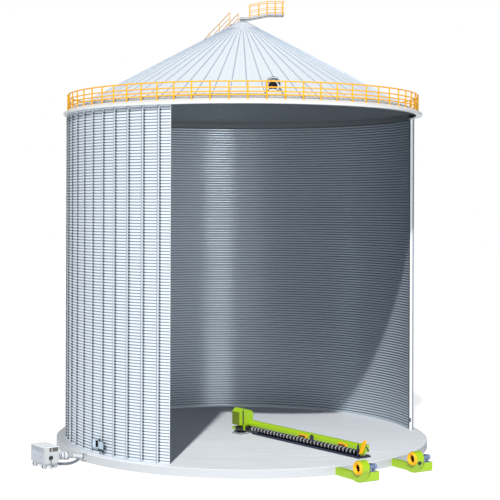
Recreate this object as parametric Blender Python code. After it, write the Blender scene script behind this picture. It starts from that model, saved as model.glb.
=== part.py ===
"""Grain silo, cut away at the front right, with its sweep auger, two fans and a grain cooler.

Metres, +Z up.  The origin is on the silo's axis at the underside of the foundation slab.
Angles are in degrees from the front (-Y), positive towards +X.
"""
import math

import bmesh
import bpy
from mathutils import Matrix, Vector

# Driving dimensions of the silo.
CLEAR = 0.0003
SLAB_RADIUS = 12.66
SLAB_HEIGHT = 0.53
SLAB_CHAMFER = 0.03
WALL_RADIUS = 12.0
WALL_SHEET = 0.04
WALL_HEIGHT = 21.80
BAYS = 66
BAY = 360.0 / BAYS
CUT_LEFT = -22.7273
WALL_BAYS = 44
STIFFENER_DEPTH = 0.075
STIFFENER_HALF = 0.28
EAVE_INNER = 11.86
EAVE_OUTER = 12.27
EAVE_DEPTH = 0.08
ROOF_OUTER = 12.25
ROOF_INNER = 0.60
ROOF_SLOPE = 0.535
ROOF_SHEET = 0.05
RIB_HEIGHT = 0.05
RIB_HALF = 0.22
RIB_OUTER = 11.78
RIB_INNER = 1.22
SECTORS = 3

# Guardrail on the roof's edge.
RAIL_RADIUS = 11.98
RAIL_TUBE = 0.048
RAIL_LEVELS = (0.259, 0.452, 0.705, 1.067)

# Access hatch low on the wall.
HATCH_ANGLE = -50.0
HATCH_STEPS = (-2.08, -1.30, -0.53, 0.135, 0.80, 1.11)
HATCH_OPENING_LEFT = HATCH_ANGLE + HATCH_STEPS[2]
HATCH_OPENING_RIGHT = HATCH_ANGLE + HATCH_STEPS[4]
HATCH_FRAME_LOW = 0.38
HATCH_SILL = 0.44
HATCH_HEAD = 0.86
HATCH_FRAME_TOP = 0.92
HATCH_FRAME_RADIUS = 12.17

# Sweep auger, drawn at rest at this angle.
SWEEP_ANGLE = 36.0
SCREW_OFFSET = 0.66
SCREW_HEIGHT = 0.33
SCREW_RADIUS = 0.18
SCREW_FLIGHTS = 28
ARM_START = 0.425
ARM_END = 11.32

# Fans and their ducts.
FAN_ANGLE = 31.0
FAN_REACH = 2.50
FAN_AXLE_HEIGHT = 0.85
FAN_SCROLL_RADIUS = 0.45
FAN_NEAR = -0.20
FAN_FAR = 0.30
FAN_BACK = 1.20
FAN_POINTS = {"fan_right": (9.043, -8.455), "fan_front": (5.393, -11.375)}
FAN_DUCT_START = {"fan_right": 0.0, "fan_front": -0.25}
PORT_ANGLE = -26.0
PORT_RADIUS = 0.11

# Grain cooler at the far left.
COOLER_CENTRE = (-12.40, -9.27)
COOLER_TURN = 35.0
COOLER_DUCT_LENGTH = 2.30

FLOOR = SLAB_HEIGHT
EAVE_UNDER = FLOOR + WALL_HEIGHT
EAVE_TOP = EAVE_UNDER + EAVE_DEPTH

for old in list(bpy.data.objects):
    bpy.data.objects.remove(old, do_unlink=True)

PARTS = bpy.data.collections.new("parts")
CUTTERS = bpy.data.collections.new("cutters")
bpy.context.scene.collection.children.link(PARTS)
bpy.context.scene.collection.children.link(CUTTERS)

COLOURS = {
    "concrete": (0.62, 0.63, 0.65, 0.85, 0.0),
    "galvanised": (0.66, 0.69, 0.73, 0.45, 0.9),
    "roof_sheet": (0.68, 0.73, 0.80, 0.45, 0.6),
    "safety_yellow": (0.90, 0.52, 0.03, 0.45, 0.0),
    "grating": (0.45, 0.47, 0.50, 0.6, 0.8),
    "lime_green": (0.40, 0.65, 0.04, 0.4, 0.0),
    "orange": (0.95, 0.45, 0.04, 0.4, 0.0),
    "motor_blue": (0.14, 0.20, 0.42, 0.45, 0.0),
    "rubber_black": (0.02, 0.02, 0.025, 0.8, 0.0),
    "hatch_blue": (0.42, 0.50, 0.60, 0.45, 0.3),
    "screw_white": (0.80, 0.80, 0.80, 0.45, 0.1),
    "cooler_grey": (0.66, 0.67, 0.69, 0.45, 0.1),
    "dark_steel": (0.12, 0.13, 0.15, 0.5, 0.7),
}


def polar(radius, degrees, height):
    """A point from the silo's own angle and radius."""
    angle = math.radians(degrees)
    return Vector((radius * math.sin(angle), -radius * math.cos(angle), height))


def cone(radius):
    """Height of the roof sheet's top face at a radius."""
    return EAVE_TOP + ROOF_SHEET + (ROOF_OUTER - radius) * ROOF_SLOPE


def finish(bm, name, colour, collection=PARTS, smooth=False):
    """Turns a bmesh into one named object with a material of its own."""
    bmesh.ops.recalc_face_normals(bm, faces=bm.faces)
    mesh = bpy.data.meshes.new(name)
    bm.to_mesh(mesh)
    bm.free()
    body = bpy.data.objects.new(name, mesh)
    collection.objects.link(body)
    if smooth:
        mesh.shade_smooth()
        mesh.set_sharp_from_angle(angle=math.radians(32))
    if collection is CUTTERS:
        body.hide_render = True
        body.display_type = "WIRE"
        return body
    red, green, blue, rough, metal = COLOURS[colour]
    material = bpy.data.materials.new(name + "_" + colour)
    material.use_nodes = True
    shader = material.node_tree.nodes["Principled BSDF"]
    shader.inputs["Base Color"].default_value = (red, green, blue, 1.0)
    shader.inputs["Roughness"].default_value = rough
    shader.inputs["Metallic"].default_value = metal
    mesh.materials.append(material)
    return body


def cells(us, vs, ws, solid, place, wrap=False):
    """One closed body from the filled cells of a grid, each corner set by place(u, v, w)."""
    bm = bmesh.new()
    corners = {}
    columns = len(us) if wrap else len(us) - 1

    def corner(i, j, k):
        key = (i % len(us) if wrap else i, j, k)
        if key not in corners:
            corners[key] = bm.verts.new(place(us[key[0]], vs[j], ws[k]))
        return corners[key]

    def filled(i, j, k):
        if wrap:
            i = i % columns
        elif not 0 <= i < columns:
            return False
        inside = 0 <= j < len(vs) - 1 and 0 <= k < len(ws) - 1
        return inside and solid(i, j, k)

    sides = (
        ((-1, 0, 0), ((0, 0, 0), (0, 1, 0), (0, 1, 1), (0, 0, 1))),
        ((1, 0, 0), ((1, 0, 0), (1, 0, 1), (1, 1, 1), (1, 1, 0))),
        ((0, -1, 0), ((0, 0, 0), (0, 0, 1), (1, 0, 1), (1, 0, 0))),
        ((0, 1, 0), ((0, 1, 0), (1, 1, 0), (1, 1, 1), (0, 1, 1))),
        ((0, 0, -1), ((0, 0, 0), (1, 0, 0), (1, 1, 0), (0, 1, 0))),
        ((0, 0, 1), ((0, 0, 1), (0, 1, 1), (1, 1, 1), (1, 0, 1))),
    )
    for i in range(columns):
        for j in range(len(vs) - 1):
            for k in range(len(ws) - 1):
                if not filled(i, j, k):
                    continue
                for (di, dj, dk), quad in sides:
                    if not filled(i + di, j + dj, k + dk):
                        bm.faces.new([corner(i + a, j + b, k + c) for a, b, c in quad])
    return bm


def always(i, j, k):
    """Every cell of the grid is filled."""
    return True


def lathe(profile, count, place=Matrix.Identity(4)):
    """A body of revolution about local Z from (radius, height) points, closed on the axis or as a ring."""
    bm = bmesh.new()
    loops = []
    for radius, height in profile:
        if radius == 0.0:
            loops.append([bm.verts.new(place @ Vector((0.0, 0.0, height)))])
            continue
        ring = []
        for index in range(count):
            angle = 2.0 * math.pi * index / count
            spot = Vector((radius * math.cos(angle), radius * math.sin(angle), height))
            ring.append(bm.verts.new(place @ spot))
        loops.append(ring)
    open_ended = len(loops[0]) == 1 and len(loops[-1]) == 1
    last = len(loops) - 1 if open_ended else len(loops)
    for index in range(last):
        low, high = loops[index], loops[(index + 1) % len(loops)]
        for step in range(count):
            after = (step + 1) % count
            if len(low) == 1:
                bm.faces.new((low[0], high[step], high[after]))
            elif len(high) == 1:
                bm.faces.new((low[step], low[after], high[0]))
            else:
                bm.faces.new((low[step], low[after], high[after], high[step]))
    return bm


def prism(outline, start, end, place):
    """An outline in (u, v) pushed along w from start to end, set by place(u, v, w)."""
    bm = bmesh.new()
    near = [bm.verts.new(place(u, v, start)) for u, v in outline]
    far = [bm.verts.new(place(u, v, end)) for u, v in outline]
    bm.faces.new(near)
    bm.faces.new(list(reversed(far)))
    for index in range(len(outline)):
        after = (index + 1) % len(outline)
        bm.faces.new((near[index], near[after], far[after], far[index]))
    return bm


def local_box(frame, low, high):
    """A box between two corners of a local frame."""
    us, vs, ws = (low[0], high[0]), (low[1], high[1]), (low[2], high[2])
    return cells(us, vs, ws, always, lambda u, v, w: frame @ Vector((u, v, w)))


def boolean(body, cutter, operation):
    """Adds a Boolean with a cutter body that stays hidden."""
    change = body.modifiers.new(operation.lower() + "_" + cutter.name, "BOOLEAN")
    change.operation = operation
    change.solver = "EXACT"
    change.object = cutter


def heading(degrees, origin=(0.0, 0.0, 0.0), right=True):
    """A frame with local X along an angle of the silo and local Y a quarter turn to its right."""
    forward = polar(1.0, degrees, 0.0)
    side = polar(1.0, degrees + 90.0, 0.0)
    return Matrix((
        (forward.x, side.x, 0.0, origin[0]),
        (forward.y, side.y, 0.0, origin[1]),
        (0.0, 0.0, 1.0, origin[2]),
        (0.0, 0.0, 0.0, 1.0),
    ))


def along_axis(frame, position, axis):
    """A frame whose local Z lies along an axis given in another frame."""
    turn = Vector((0.0, 0.0, 1.0)).rotation_difference(Vector(axis)).to_matrix().to_4x4()
    return frame @ Matrix.Translation(position) @ turn


def stiffened_arc(first, last, low, high, posts):
    """A piece of the silo wall between two angles, with its outside stiffeners."""
    spacing = BAY / 3.0
    edge = math.degrees(CLEAR / 2.0 / WALL_RADIUS)
    start, end = min(first, last) + edge, max(first, last) - edge
    marks = {start, end}
    spot = math.ceil((start - CUT_LEFT) / spacing) * spacing + CUT_LEFT
    while spot < end:
        if spot > start + 0.2 and spot < end - 0.2:
            marks.add(spot)
        spot += spacing
    for post in posts:
        marks.add(post - STIFFENER_HALF)
        marks.add(post + STIFFENER_HALF)
    angles = sorted(marks)
    radii = (WALL_RADIUS - WALL_SHEET, WALL_RADIUS, WALL_RADIUS + STIFFENER_DEPTH)

    def solid(i, j, k):
        middle = (angles[i] + angles[i + 1]) / 2.0
        return j == 0 or any(abs(middle - post) < STIFFENER_HALF for post in posts)

    return cells(angles, radii, (low, high), solid, polar_uvw)


def polar_uvw(angle, radius, height):
    """Grid corner on the silo's own cylinder."""
    return polar(radius, angle, height)


# Foundation slab, with pockets in its side for the three air ducts.
bevel = SLAB_RADIUS - SLAB_CHAMFER
slab = finish(lathe((
    (0.0, 0.0), (SLAB_RADIUS, 0.0), (SLAB_RADIUS, SLAB_HEIGHT - SLAB_CHAMFER),
    (bevel, SLAB_HEIGHT), (0.0, SLAB_HEIGHT)), 132), "foundation_slab", "concrete", smooth=True)

# Wall: pieces between bay lines, and three pieces around the hatch.
wall_low = FLOOR + CLEAR
wall_high = EAVE_UNDER - CLEAR


def bay_line(index):
    """Angle of a bay line, counted leftwards from the left edge of the cut."""
    return CUT_LEFT - BAY * index


def posts_between(start, end):
    """Stiffener angles in the bays from start to end."""
    return [bay_line(index) - BAY / 2.0 for index in range(start, end)]


for name, start, end in (("wall_front_left", 0, 4), ("wall_left", 6, 19),
                         ("wall_back", 19, 32), ("wall_right", 32, WALL_BAYS)):
    piece = stiffened_arc(bay_line(start), bay_line(end), wall_low, wall_high, posts_between(start, end))
    finish(piece, name, "galvanised", smooth=True)

finish(stiffened_arc(bay_line(4), HATCH_OPENING_RIGHT, wall_low, wall_high, posts_between(4, 5)),
       "wall_hatch_right", "galvanised", smooth=True)
finish(stiffened_arc(HATCH_OPENING_LEFT, bay_line(6), wall_low, wall_high, posts_between(5, 6)),
       "wall_hatch_left", "galvanised", smooth=True)
finish(stiffened_arc(HATCH_OPENING_RIGHT, HATCH_OPENING_LEFT, FLOOR + HATCH_HEAD, wall_high, []),
       "wall_over_hatch", "galvanised", smooth=True)
finish(stiffened_arc(HATCH_OPENING_RIGHT, HATCH_OPENING_LEFT, wall_low, FLOOR + HATCH_SILL, []),
       "wall_under_hatch", "galvanised", smooth=True)

# Eave ring under the roof's edge, all round.
eave_angles = [index * 360.0 / 132 for index in range(132)]
finish(cells(eave_angles, (EAVE_INNER, EAVE_OUTER), (EAVE_UNDER, EAVE_TOP), always, polar_uvw, wrap=True),
       "eave_ring", "galvanised", smooth=True)

# Roof in three sectors of ribbed sheet, with a throat under the vent in the front one.
VENT_ANGLE = BAY * 1.5
VENT_THROAT = (9.95, 10.55)
VENT_THROAT_HALF = 1.05
ROOF_LIFT = CLEAR

sector_angle = 360.0 / SECTORS
sector_names = ("roof_front", "roof_right", "roof_left")
for number, name in enumerate(sector_names):
    middle = sector_angle * number if number < 2 else -sector_angle
    edge = math.degrees(CLEAR / 2.0 / ROOF_OUTER) * 4.0
    start = middle - sector_angle / 2.0 + edge
    end = middle + sector_angle / 2.0 - edge
    ribs = []
    marks = {start, end}
    for index in range(-BAYS, BAYS + 1):
        rib = index * BAY
        if start < rib < end:
            ribs.append(rib)
            marks.update((rib - RIB_HALF, rib + RIB_HALF))
        if start < rib + BAY / 2.0 < end:
            marks.add(rib + BAY / 2.0)
    radii = [ROOF_INNER, RIB_INNER, RIB_OUTER, ROOF_OUTER]
    vented = number == 0
    if vented:
        marks.update((VENT_ANGLE - VENT_THROAT_HALF, VENT_ANGLE + VENT_THROAT_HALF))
        radii = [ROOF_INNER, RIB_INNER, VENT_THROAT[0], VENT_THROAT[1], RIB_OUTER, ROOF_OUTER]
    angles = sorted(marks)

    def sheet(i, j, k):
        here = (angles[i] + angles[i + 1]) / 2.0
        if j == 0:
            in_throat = vented and abs(here - VENT_ANGLE) < VENT_THROAT_HALF
            return not (in_throat and abs(radii[k] - VENT_THROAT[0]) < 0.001)
        on_rib = any(abs(here - rib) < RIB_HALF for rib in ribs)
        return on_rib and RIB_INNER <= radii[k] < RIB_OUTER

    def on_cone(angle, lift, radius):
        return polar(radius, angle, cone(radius) + ROOF_LIFT + lift)

    body = cells(angles, (-ROOF_SHEET, 0.0, RIB_HEIGHT), radii, sheet, on_cone)
    finish(body, name, "roof_sheet", smooth=True)

# Peak collar over the roof's open centre.
collar_top = 0.045
finish(lathe((
    (0.0, cone(0.55) - 0.16), (0.55, cone(0.55) - 0.16), (0.55, cone(0.55) + 0.0022),
    (1.15, cone(1.15) + 0.0022), (1.15, cone(1.15) + collar_top), (0.22, cone(0.22) + collar_top),
    (0.20, cone(0.20) + 0.12), (0.0, cone(0.20) + 0.12)), 44), "peak_collar", "dark_steel", smooth=True)

# Guardrail round the roof's edge, in three sections.
half_tube = RAIL_TUBE / 2.0
tube_angle = math.degrees(half_tube / RAIL_RADIUS)
level_marks = [0.001]
for level in RAIL_LEVELS:
    level_marks += [level - half_tube, level + half_tube]
for number, name in enumerate(("guardrail_front", "guardrail_right", "guardrail_left")):
    middle = sector_angle * number if number < 2 else -sector_angle
    first = round((middle - sector_angle / 2.0) / BAY) + 0
    posts = [(first + index) * BAY for index in range(BAYS // SECTORS)]
    angles = []
    for post in posts:
        angles += [post - tube_angle, post + tube_angle]
    angles.append(posts[-1] + BAY - tube_angle - math.degrees(CLEAR / RAIL_RADIUS))

    def ladder(i, j, k):
        return j % 2 == 1 or i % 2 == 0

    def on_edge(angle, lift, radius):
        return polar(radius, angle, cone(radius) + ROOF_LIFT + lift)

    body = cells(angles, level_marks, (RAIL_RADIUS - half_tube, RAIL_RADIUS + half_tube), ladder, on_edge)
    finish(body, name, "safety_yellow")

# Roof stair on the back left of the cone, with a handrail on each side.
STAIR_ANGLE = -143.0
STAIR_HALF = 0.35
STAIR_FOOT = 11.55
STAIR_HEAD = 0.80
STAIR_STEPS = 36
stair_frame = heading(STAIR_ANGLE)
tread = (STAIR_FOOT - STAIR_HEAD) / STAIR_STEPS
under = RIB_HEIGHT + 0.001
outline = [(STAIR_FOOT, cone(STAIR_FOOT) + under), (STAIR_HEAD, cone(STAIR_HEAD) + under)]
for index in range(STAIR_STEPS):
    near = STAIR_HEAD + tread * index
    height = cone(near) + under + 0.06
    outline.append((near, height))
    outline.append((near + tread, height))
finish(prism(outline, -STAIR_HALF, STAIR_HALF, lambda u, v, w: stair_frame @ Vector((u, w, v))),
       "roof_stair", "grating")

stair_posts = [STAIR_HEAD + 0.15 + index * 1.16 for index in range(10)]
stair_marks = []
for spot in stair_posts:
    stair_marks += [spot - half_tube, spot + half_tube]
stair_levels = (0.03, 0.36, 0.36 + RAIL_TUBE, 0.70, 0.70 + RAIL_TUBE, 1.10 - RAIL_TUBE, 1.10)
for name, side in (("stair_rail_left", -1.0), ("stair_rail_right", 1.0)):
    inner = side * (STAIR_HALF + CLEAR)
    outer = side * (STAIR_HALF + CLEAR + RAIL_TUBE)
    widths = sorted((inner, outer))

    def stair_ladder(i, j, k):
        return j in (1, 3, 5) or i % 2 == 0

    def on_stair(along, lift, across):
        return stair_frame @ Vector((along, across, cone(along) + under + lift))

    finish(cells(stair_marks, stair_levels, widths, stair_ladder, on_stair), name, "safety_yellow")

# Catwalk to the right of the peak.
WALK_HALF = 0.40
walk_start = 0.40
walk_bend = 1.75
walk_end = 2.82
walk_deck = FLOOR + 28.90
walk_low = cone(0.20) + 0.12 + CLEAR
outline = [(-0.20, walk_low), (0.42, walk_low), (walk_bend, walk_deck - 0.14), (walk_end, walk_deck - 0.14),
           (walk_end, walk_deck), (walk_bend, walk_deck), (0.42, walk_low + 0.14), (-0.20, walk_low + 0.14)]
finish(prism(outline, -WALK_HALF, WALK_HALF, lambda u, v, w: Vector((u, w, v))), "peak_catwalk", "grating")


def walk_path(distance):
    """Point and deck height on the catwalk rail's path: along the front, round the end and back."""
    side = walk_end - walk_start
    reach = WALK_HALF + CLEAR
    turned = distance
    if distance <= side:
        spot = (walk_start + distance, -1.0, 0.0)
    elif distance <= side + 2.0 * reach:
        turned = side
        spot = (walk_end, (distance - side) / reach - 1.0, 1.0)
    else:
        turned = side - (distance - side - 2.0 * reach)
        spot = (walk_start + turned, 1.0, 0.0)
    along = walk_start + turned
    rise = min(max((along - 0.42) / (walk_bend - 0.42), 0.0), 1.0)
    return spot, walk_low + 0.14 + rise * (walk_deck - walk_low - 0.14)


def on_walk(distance, lift, outward):
    """Corner of the catwalk rail, outward from the deck's edge."""
    (x, side, _), deck = walk_path(distance)
    edge = WALK_HALF + CLEAR + outward
    beyond = CLEAR + outward if x >= walk_end else 0.0
    return Vector((x + beyond, side * edge, deck + lift))


side_run = walk_end - walk_start
end_run = 2.0 * (WALK_HALF + CLEAR)
walk_posts = [0.10, walk_bend - walk_start - 0.05, side_run - 0.06]
walk_marks = []
for spot in walk_posts:
    walk_marks += [spot - half_tube, spot + half_tube]
walk_marks = walk_marks + [side_run] + [side_run + end_run]
for spot in reversed(walk_posts):
    walk_marks += [2.0 * side_run + end_run - spot - half_tube, 2.0 * side_run + end_run - spot + half_tube]
walk_levels = (-0.10, 0.06, 0.06 + RAIL_TUBE, 0.40, 0.40 + RAIL_TUBE, 0.88 - RAIL_TUBE, 0.88)


def walk_ladder(i, j, k):
    """Rails all round, and posts where a pair of marks stands."""
    return j in (1, 3, 5) or i in (0, 2, 4, 8, 10, 12)


finish(cells(walk_marks, walk_levels, (0.0, RAIL_TUBE), walk_ladder, on_walk), "catwalk_rail", "safety_yellow")

# Roof vent near the front eave: a lying pipe with a gabled hood.
vent_frame = heading(VENT_ANGLE)
vent_height = FLOOR + 22.95
pipe_place = along_axis(vent_frame, (9.55, 0.0, vent_height), (1.0, 0.0, 0.0))
vent = finish(lathe(((0.0, 0.0), (0.33, 0.0), (0.33, 1.42), (0.0, 1.42)), 24, pipe_place), "roof_vent",
              "roof_sheet", smooth=True)
hood = finish(prism(((-0.40, 0.10), (0.0, 0.56), (0.40, 0.10), (0.34, -0.04), (-0.34, -0.04)), 10.60, 11.08,
                    lambda u, v, w: vent_frame @ Vector((w, u, vent_height + v))),
              "cut_vent_hood", None, CUTTERS)
bore = finish(lathe(((0.0, 0.4), (0.27, 0.4), (0.27, 1.9), (0.0, 1.9)), 24, pipe_place),
              "cut_vent_bore", None, CUTTERS)
below = finish(lathe(((0.0, cone(12.0) - 3.0), (12.0, cone(12.0) - 3.0), (12.0, cone(12.0) + 0.001),
                      (7.0, cone(7.0) + 0.001), (0.0, cone(7.0) + 0.001)), 264),
               "cut_vent_foot", None, CUTTERS)
boolean(vent, hood, "UNION")
boolean(vent, bore, "DIFFERENCE")
boolean(vent, below, "DIFFERENCE")

# Access hatch: a frame that fits the wall's curve, with a doorway at its right, and a leaf hinged there.
frame_angles = [HATCH_ANGLE + step for step in HATCH_STEPS]
frame_levels = (FLOOR + HATCH_FRAME_LOW, FLOOR + HATCH_SILL, FLOOR + HATCH_HEAD, FLOOR + HATCH_FRAME_TOP)
frame_body = finish(cells(frame_angles, frame_levels, (WALL_RADIUS + 2.0 * CLEAR, HATCH_FRAME_RADIUS),
                          lambda i, j, k: j != 1 or i not in (2, 3), lambda u, v, w: polar(w, u, v)),
                    "hatch_frame", "hatch_blue")

# The leaf hangs wide open, turned about a pin at the doorway's right edge, in lugs on the frame.
hatch_axes = heading(HATCH_ANGLE, (0.0, 0.0, FLOOR))
PIN_ACROSS = 0.20
LEAF_WIDTH = 0.58
LEAF_LOW = 0.36
LEAF_HIGH = 0.88
LEAF_GAP = 0.006
LEAF_THICK = 0.04
PIN_OFFSET = 0.02
LUG_HALF = 0.014
leaf_near = HATCH_FRAME_RADIUS + LEAF_GAP
leaf_start = PIN_ACROSS + PIN_OFFSET
leaf_end = leaf_start + LEAF_WIDTH
pin_along = leaf_near + LEAF_THICK / 2.0
leaf_body = finish(local_box(hatch_axes, (leaf_near, leaf_start, LEAF_LOW),
                             (leaf_near + LEAF_THICK, leaf_end, LEAF_HIGH)), "hatch_leaf", "hatch_blue")
clamps = finish(local_box(hatch_axes, (leaf_near + 0.004, leaf_end - 0.02, 0.42),
                          (leaf_near + 0.036, leaf_end + 0.20, 0.85)), "cut_leaf_clamps", None, CUTTERS)
bar = finish(local_box(hatch_axes, (leaf_near - 0.010, leaf_start - 0.01, 0.27),
                       (leaf_near + 0.050, leaf_end - 0.01, LEAF_LOW + 0.01)), "cut_leaf_bar", None, CUTTERS)
knob_place = hatch_axes @ Matrix.Translation((0.0, leaf_start + 0.11, 0.945))
knob_place = knob_place @ Matrix.Rotation(math.radians(90.0), 4, "Y")
knob = finish(lathe(((0.0, leaf_near + 0.004), (0.085, leaf_near + 0.004), (0.085, leaf_near + 0.036),
                     (0.0, leaf_near + 0.036)), 20, knob_place), "cut_leaf_knob", None, CUTTERS)
boolean(leaf_body, clamps, "UNION")
boolean(leaf_body, bar, "UNION")
boolean(leaf_body, knob, "UNION")
for number, height in enumerate((0.50, 0.76)):
    knuckle_place = hatch_axes @ Matrix.Translation((pin_along, PIN_ACROSS, height))
    knuckle = finish(lathe(((0.0, -0.04 + CLEAR), (LUG_HALF, -0.04 + CLEAR), (LUG_HALF, 0.04 - CLEAR),
                            (0.0, 0.04 - CLEAR)), 16, knuckle_place),
                     "cut_knuckle_" + str(number), None, CUTTERS)
    web = finish(local_box(hatch_axes, (pin_along - 0.007, PIN_ACROSS, height - 0.039),
                           (pin_along + 0.007, leaf_start + 0.01, height + 0.039)),
                 "cut_knuckle_web_" + str(number), None, CUTTERS)
    boolean(leaf_body, web, "UNION")
    boolean(leaf_body, knuckle, "UNION")
    for side, offset in (("low", -0.06), ("high", 0.06)):
        centre = height + offset
        lug = finish(local_box(hatch_axes, (HATCH_FRAME_RADIUS - 0.03, PIN_ACROSS - LUG_HALF, centre - 0.02),
                               (pin_along + LUG_HALF, PIN_ACROSS + LUG_HALF, centre + 0.02)),
                     "cut_lug_" + str(number) + side, None, CUTTERS)
        boolean(frame_body, lug, "UNION")

# Sweep auger: fixed base, then everything that slews about the silo's axis.
sweep = heading(SWEEP_ANGLE, (0.0, 0.0, FLOOR))
finish(lathe(((0.0, FLOOR + CLEAR), (0.62, FLOOR + CLEAR), (0.62, FLOOR + 0.06), (0.50, FLOOR + 0.10),
              (0.0, FLOOR + 0.10)), 32), "sweep_base", "rubber_black", smooth=True)

head_outline = ((-0.47, 0.61), (0.73, 0.61), (0.73, 1.40), (0.58, 1.575), (-0.19, 1.76), (-0.47, 1.52))
head = finish(prism(head_outline, -0.42, 0.42, lambda u, v, w: sweep @ Vector((w, u, v))),
              "sweep_head", "lime_green")
pillar_foot = FLOOR + 0.10 + CLEAR
pillar_head = FLOOR + 0.90
pillar = finish(lathe(((0.0, pillar_foot), (0.17, pillar_foot), (0.17, pillar_head), (0.0, pillar_head)), 24),
                "cut_sweep_pillar", None, CUTTERS)
bearing = finish(local_box(sweep, (-0.30, SCREW_OFFSET - 0.16, SCREW_HEIGHT - 0.17),
                           (ARM_START - CLEAR, SCREW_OFFSET + 0.15, 0.74)), "cut_sweep_bearing", None, CUTTERS)
link = finish(local_box(sweep, (-0.24, -0.10, 0.45), (0.24, SCREW_OFFSET, 0.74)),
              "cut_sweep_link", None, CUTTERS)
boolean(head, pillar, "UNION")
boolean(head, bearing, "UNION")
boolean(head, link, "UNION")
carriage = finish(local_box(sweep, (-0.41, -0.46, 0.29), (0.40, 0.30, 0.46)),
                  "cut_sweep_carriage", None, CUTTERS)
leg = finish(local_box(sweep, (0.32, -0.10, 0.25), (0.424, 0.02, 0.66)), "cut_sweep_leg", None, CUTTERS)
boolean(head, carriage, "UNION")
boolean(head, leg, "UNION")

mast_outline = ((-0.20, 0.66), (-0.12, 0.66), (-0.12, 1.60), (-0.145, 1.60), (-0.145, 2.36), (-0.175, 2.36),
                (-0.175, 1.60), (-0.20, 1.60))
finish(prism(mast_outline, 0.42 + CLEAR, 0.47, lambda u, v, w: sweep @ Vector((w, u, v))),
       "sweep_mast", "dark_steel")

screw_place = along_axis(sweep, (0.0, SCREW_OFFSET, SCREW_HEIGHT), (1.0, 0.0, 0.0))
pitch = (ARM_END - ARM_START - 0.20) / SCREW_FLIGHTS
profile = [(0.0, ARM_START), (0.05, ARM_START)]
for index in range(SCREW_FLIGHTS):
    spot = ARM_START + 0.10 + pitch * (index + 0.5)
    profile += [(0.05, spot - 0.05), (SCREW_RADIUS, spot), (0.05, spot + 0.05)]
profile += [(0.05, ARM_END - CLEAR), (0.0, ARM_END - CLEAR)]
finish(lathe(profile, 10, screw_place), "sweep_screw", "screw_white", smooth=True)

shield_outline = (
    (SCREW_OFFSET + 0.25, 0.10), (SCREW_OFFSET + 0.25, 0.70), (SCREW_OFFSET + 0.08, 0.88),
    (SCREW_OFFSET - 0.12, 0.88), (SCREW_OFFSET - 0.27, 0.72), (SCREW_OFFSET - 0.27, 0.60),
    (SCREW_OFFSET - 0.25, 0.60), (SCREW_OFFSET - 0.25, 0.71), (SCREW_OFFSET - 0.11, 0.86),
    (SCREW_OFFSET + 0.07, 0.86), (SCREW_OFFSET + 0.23, 0.69), (SCREW_OFFSET + 0.23, 0.10))
finish(prism(shield_outline, 0.42 + CLEAR, ARM_END - CLEAR, lambda u, v, w: sweep @ Vector((w, u, v))),
       "sweep_shield", "lime_green")

skirt_outline = ((SCREW_OFFSET - 0.36, 0.02), (SCREW_OFFSET + 0.25, 0.02),
                 (SCREW_OFFSET + 0.25, 0.10 - CLEAR), (SCREW_OFFSET + 0.20, 0.10 - CLEAR),
                 (SCREW_OFFSET + 0.16, 0.05), (SCREW_OFFSET - 0.30, 0.05),
                 (SCREW_OFFSET - 0.34, 0.13), (SCREW_OFFSET - 0.36, 0.13))
skirt = finish(prism(skirt_outline, 0.80, ARM_END + 0.26, lambda u, v, w: sweep @ Vector((w, u, v))),
               "sweep_skirt", "rubber_black")
foot_plate = finish(local_box(sweep, (ARM_END - 0.10, SCREW_OFFSET - 0.37, 0.021),
                              (ARM_END + 0.2599, SCREW_OFFSET + 0.65, 0.0995)),
                    "cut_sweep_foot", None, CUTTERS)
boolean(skirt, foot_plate, "UNION")

end_outline = ((SCREW_OFFSET - 0.29, 0.1303), (SCREW_OFFSET + 0.30, 0.1303), (SCREW_OFFSET + 0.30, 0.66),
               (SCREW_OFFSET + 0.10, 0.92), (SCREW_OFFSET - 0.14, 0.92), (SCREW_OFFSET - 0.29, 0.74))
end_plate = finish(prism(end_outline, ARM_END, ARM_END + 0.10, lambda u, v, w: sweep @ Vector((w, u, v))),
                   "sweep_end_plate", "lime_green")
drive_box = finish(local_box(sweep, (ARM_END - 0.26, SCREW_OFFSET + 0.26, 0.30),
                             (ARM_END + 0.099, SCREW_OFFSET + 0.66, 0.76)), "cut_sweep_drive", None, CUTTERS)
boolean(end_plate, drive_box, "UNION")
bar_outline = ((SCREW_OFFSET - 0.38, 0.14), (SCREW_OFFSET - 0.04, 0.14), (SCREW_OFFSET + 0.41, 1.05),
               (SCREW_OFFSET + 0.07, 1.05))
finish(prism(bar_outline, ARM_END + 0.10 + CLEAR, ARM_END + 0.18, lambda u, v, w: sweep @ Vector((w, u, v))),
       "sweep_end_bar", "orange")


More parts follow.
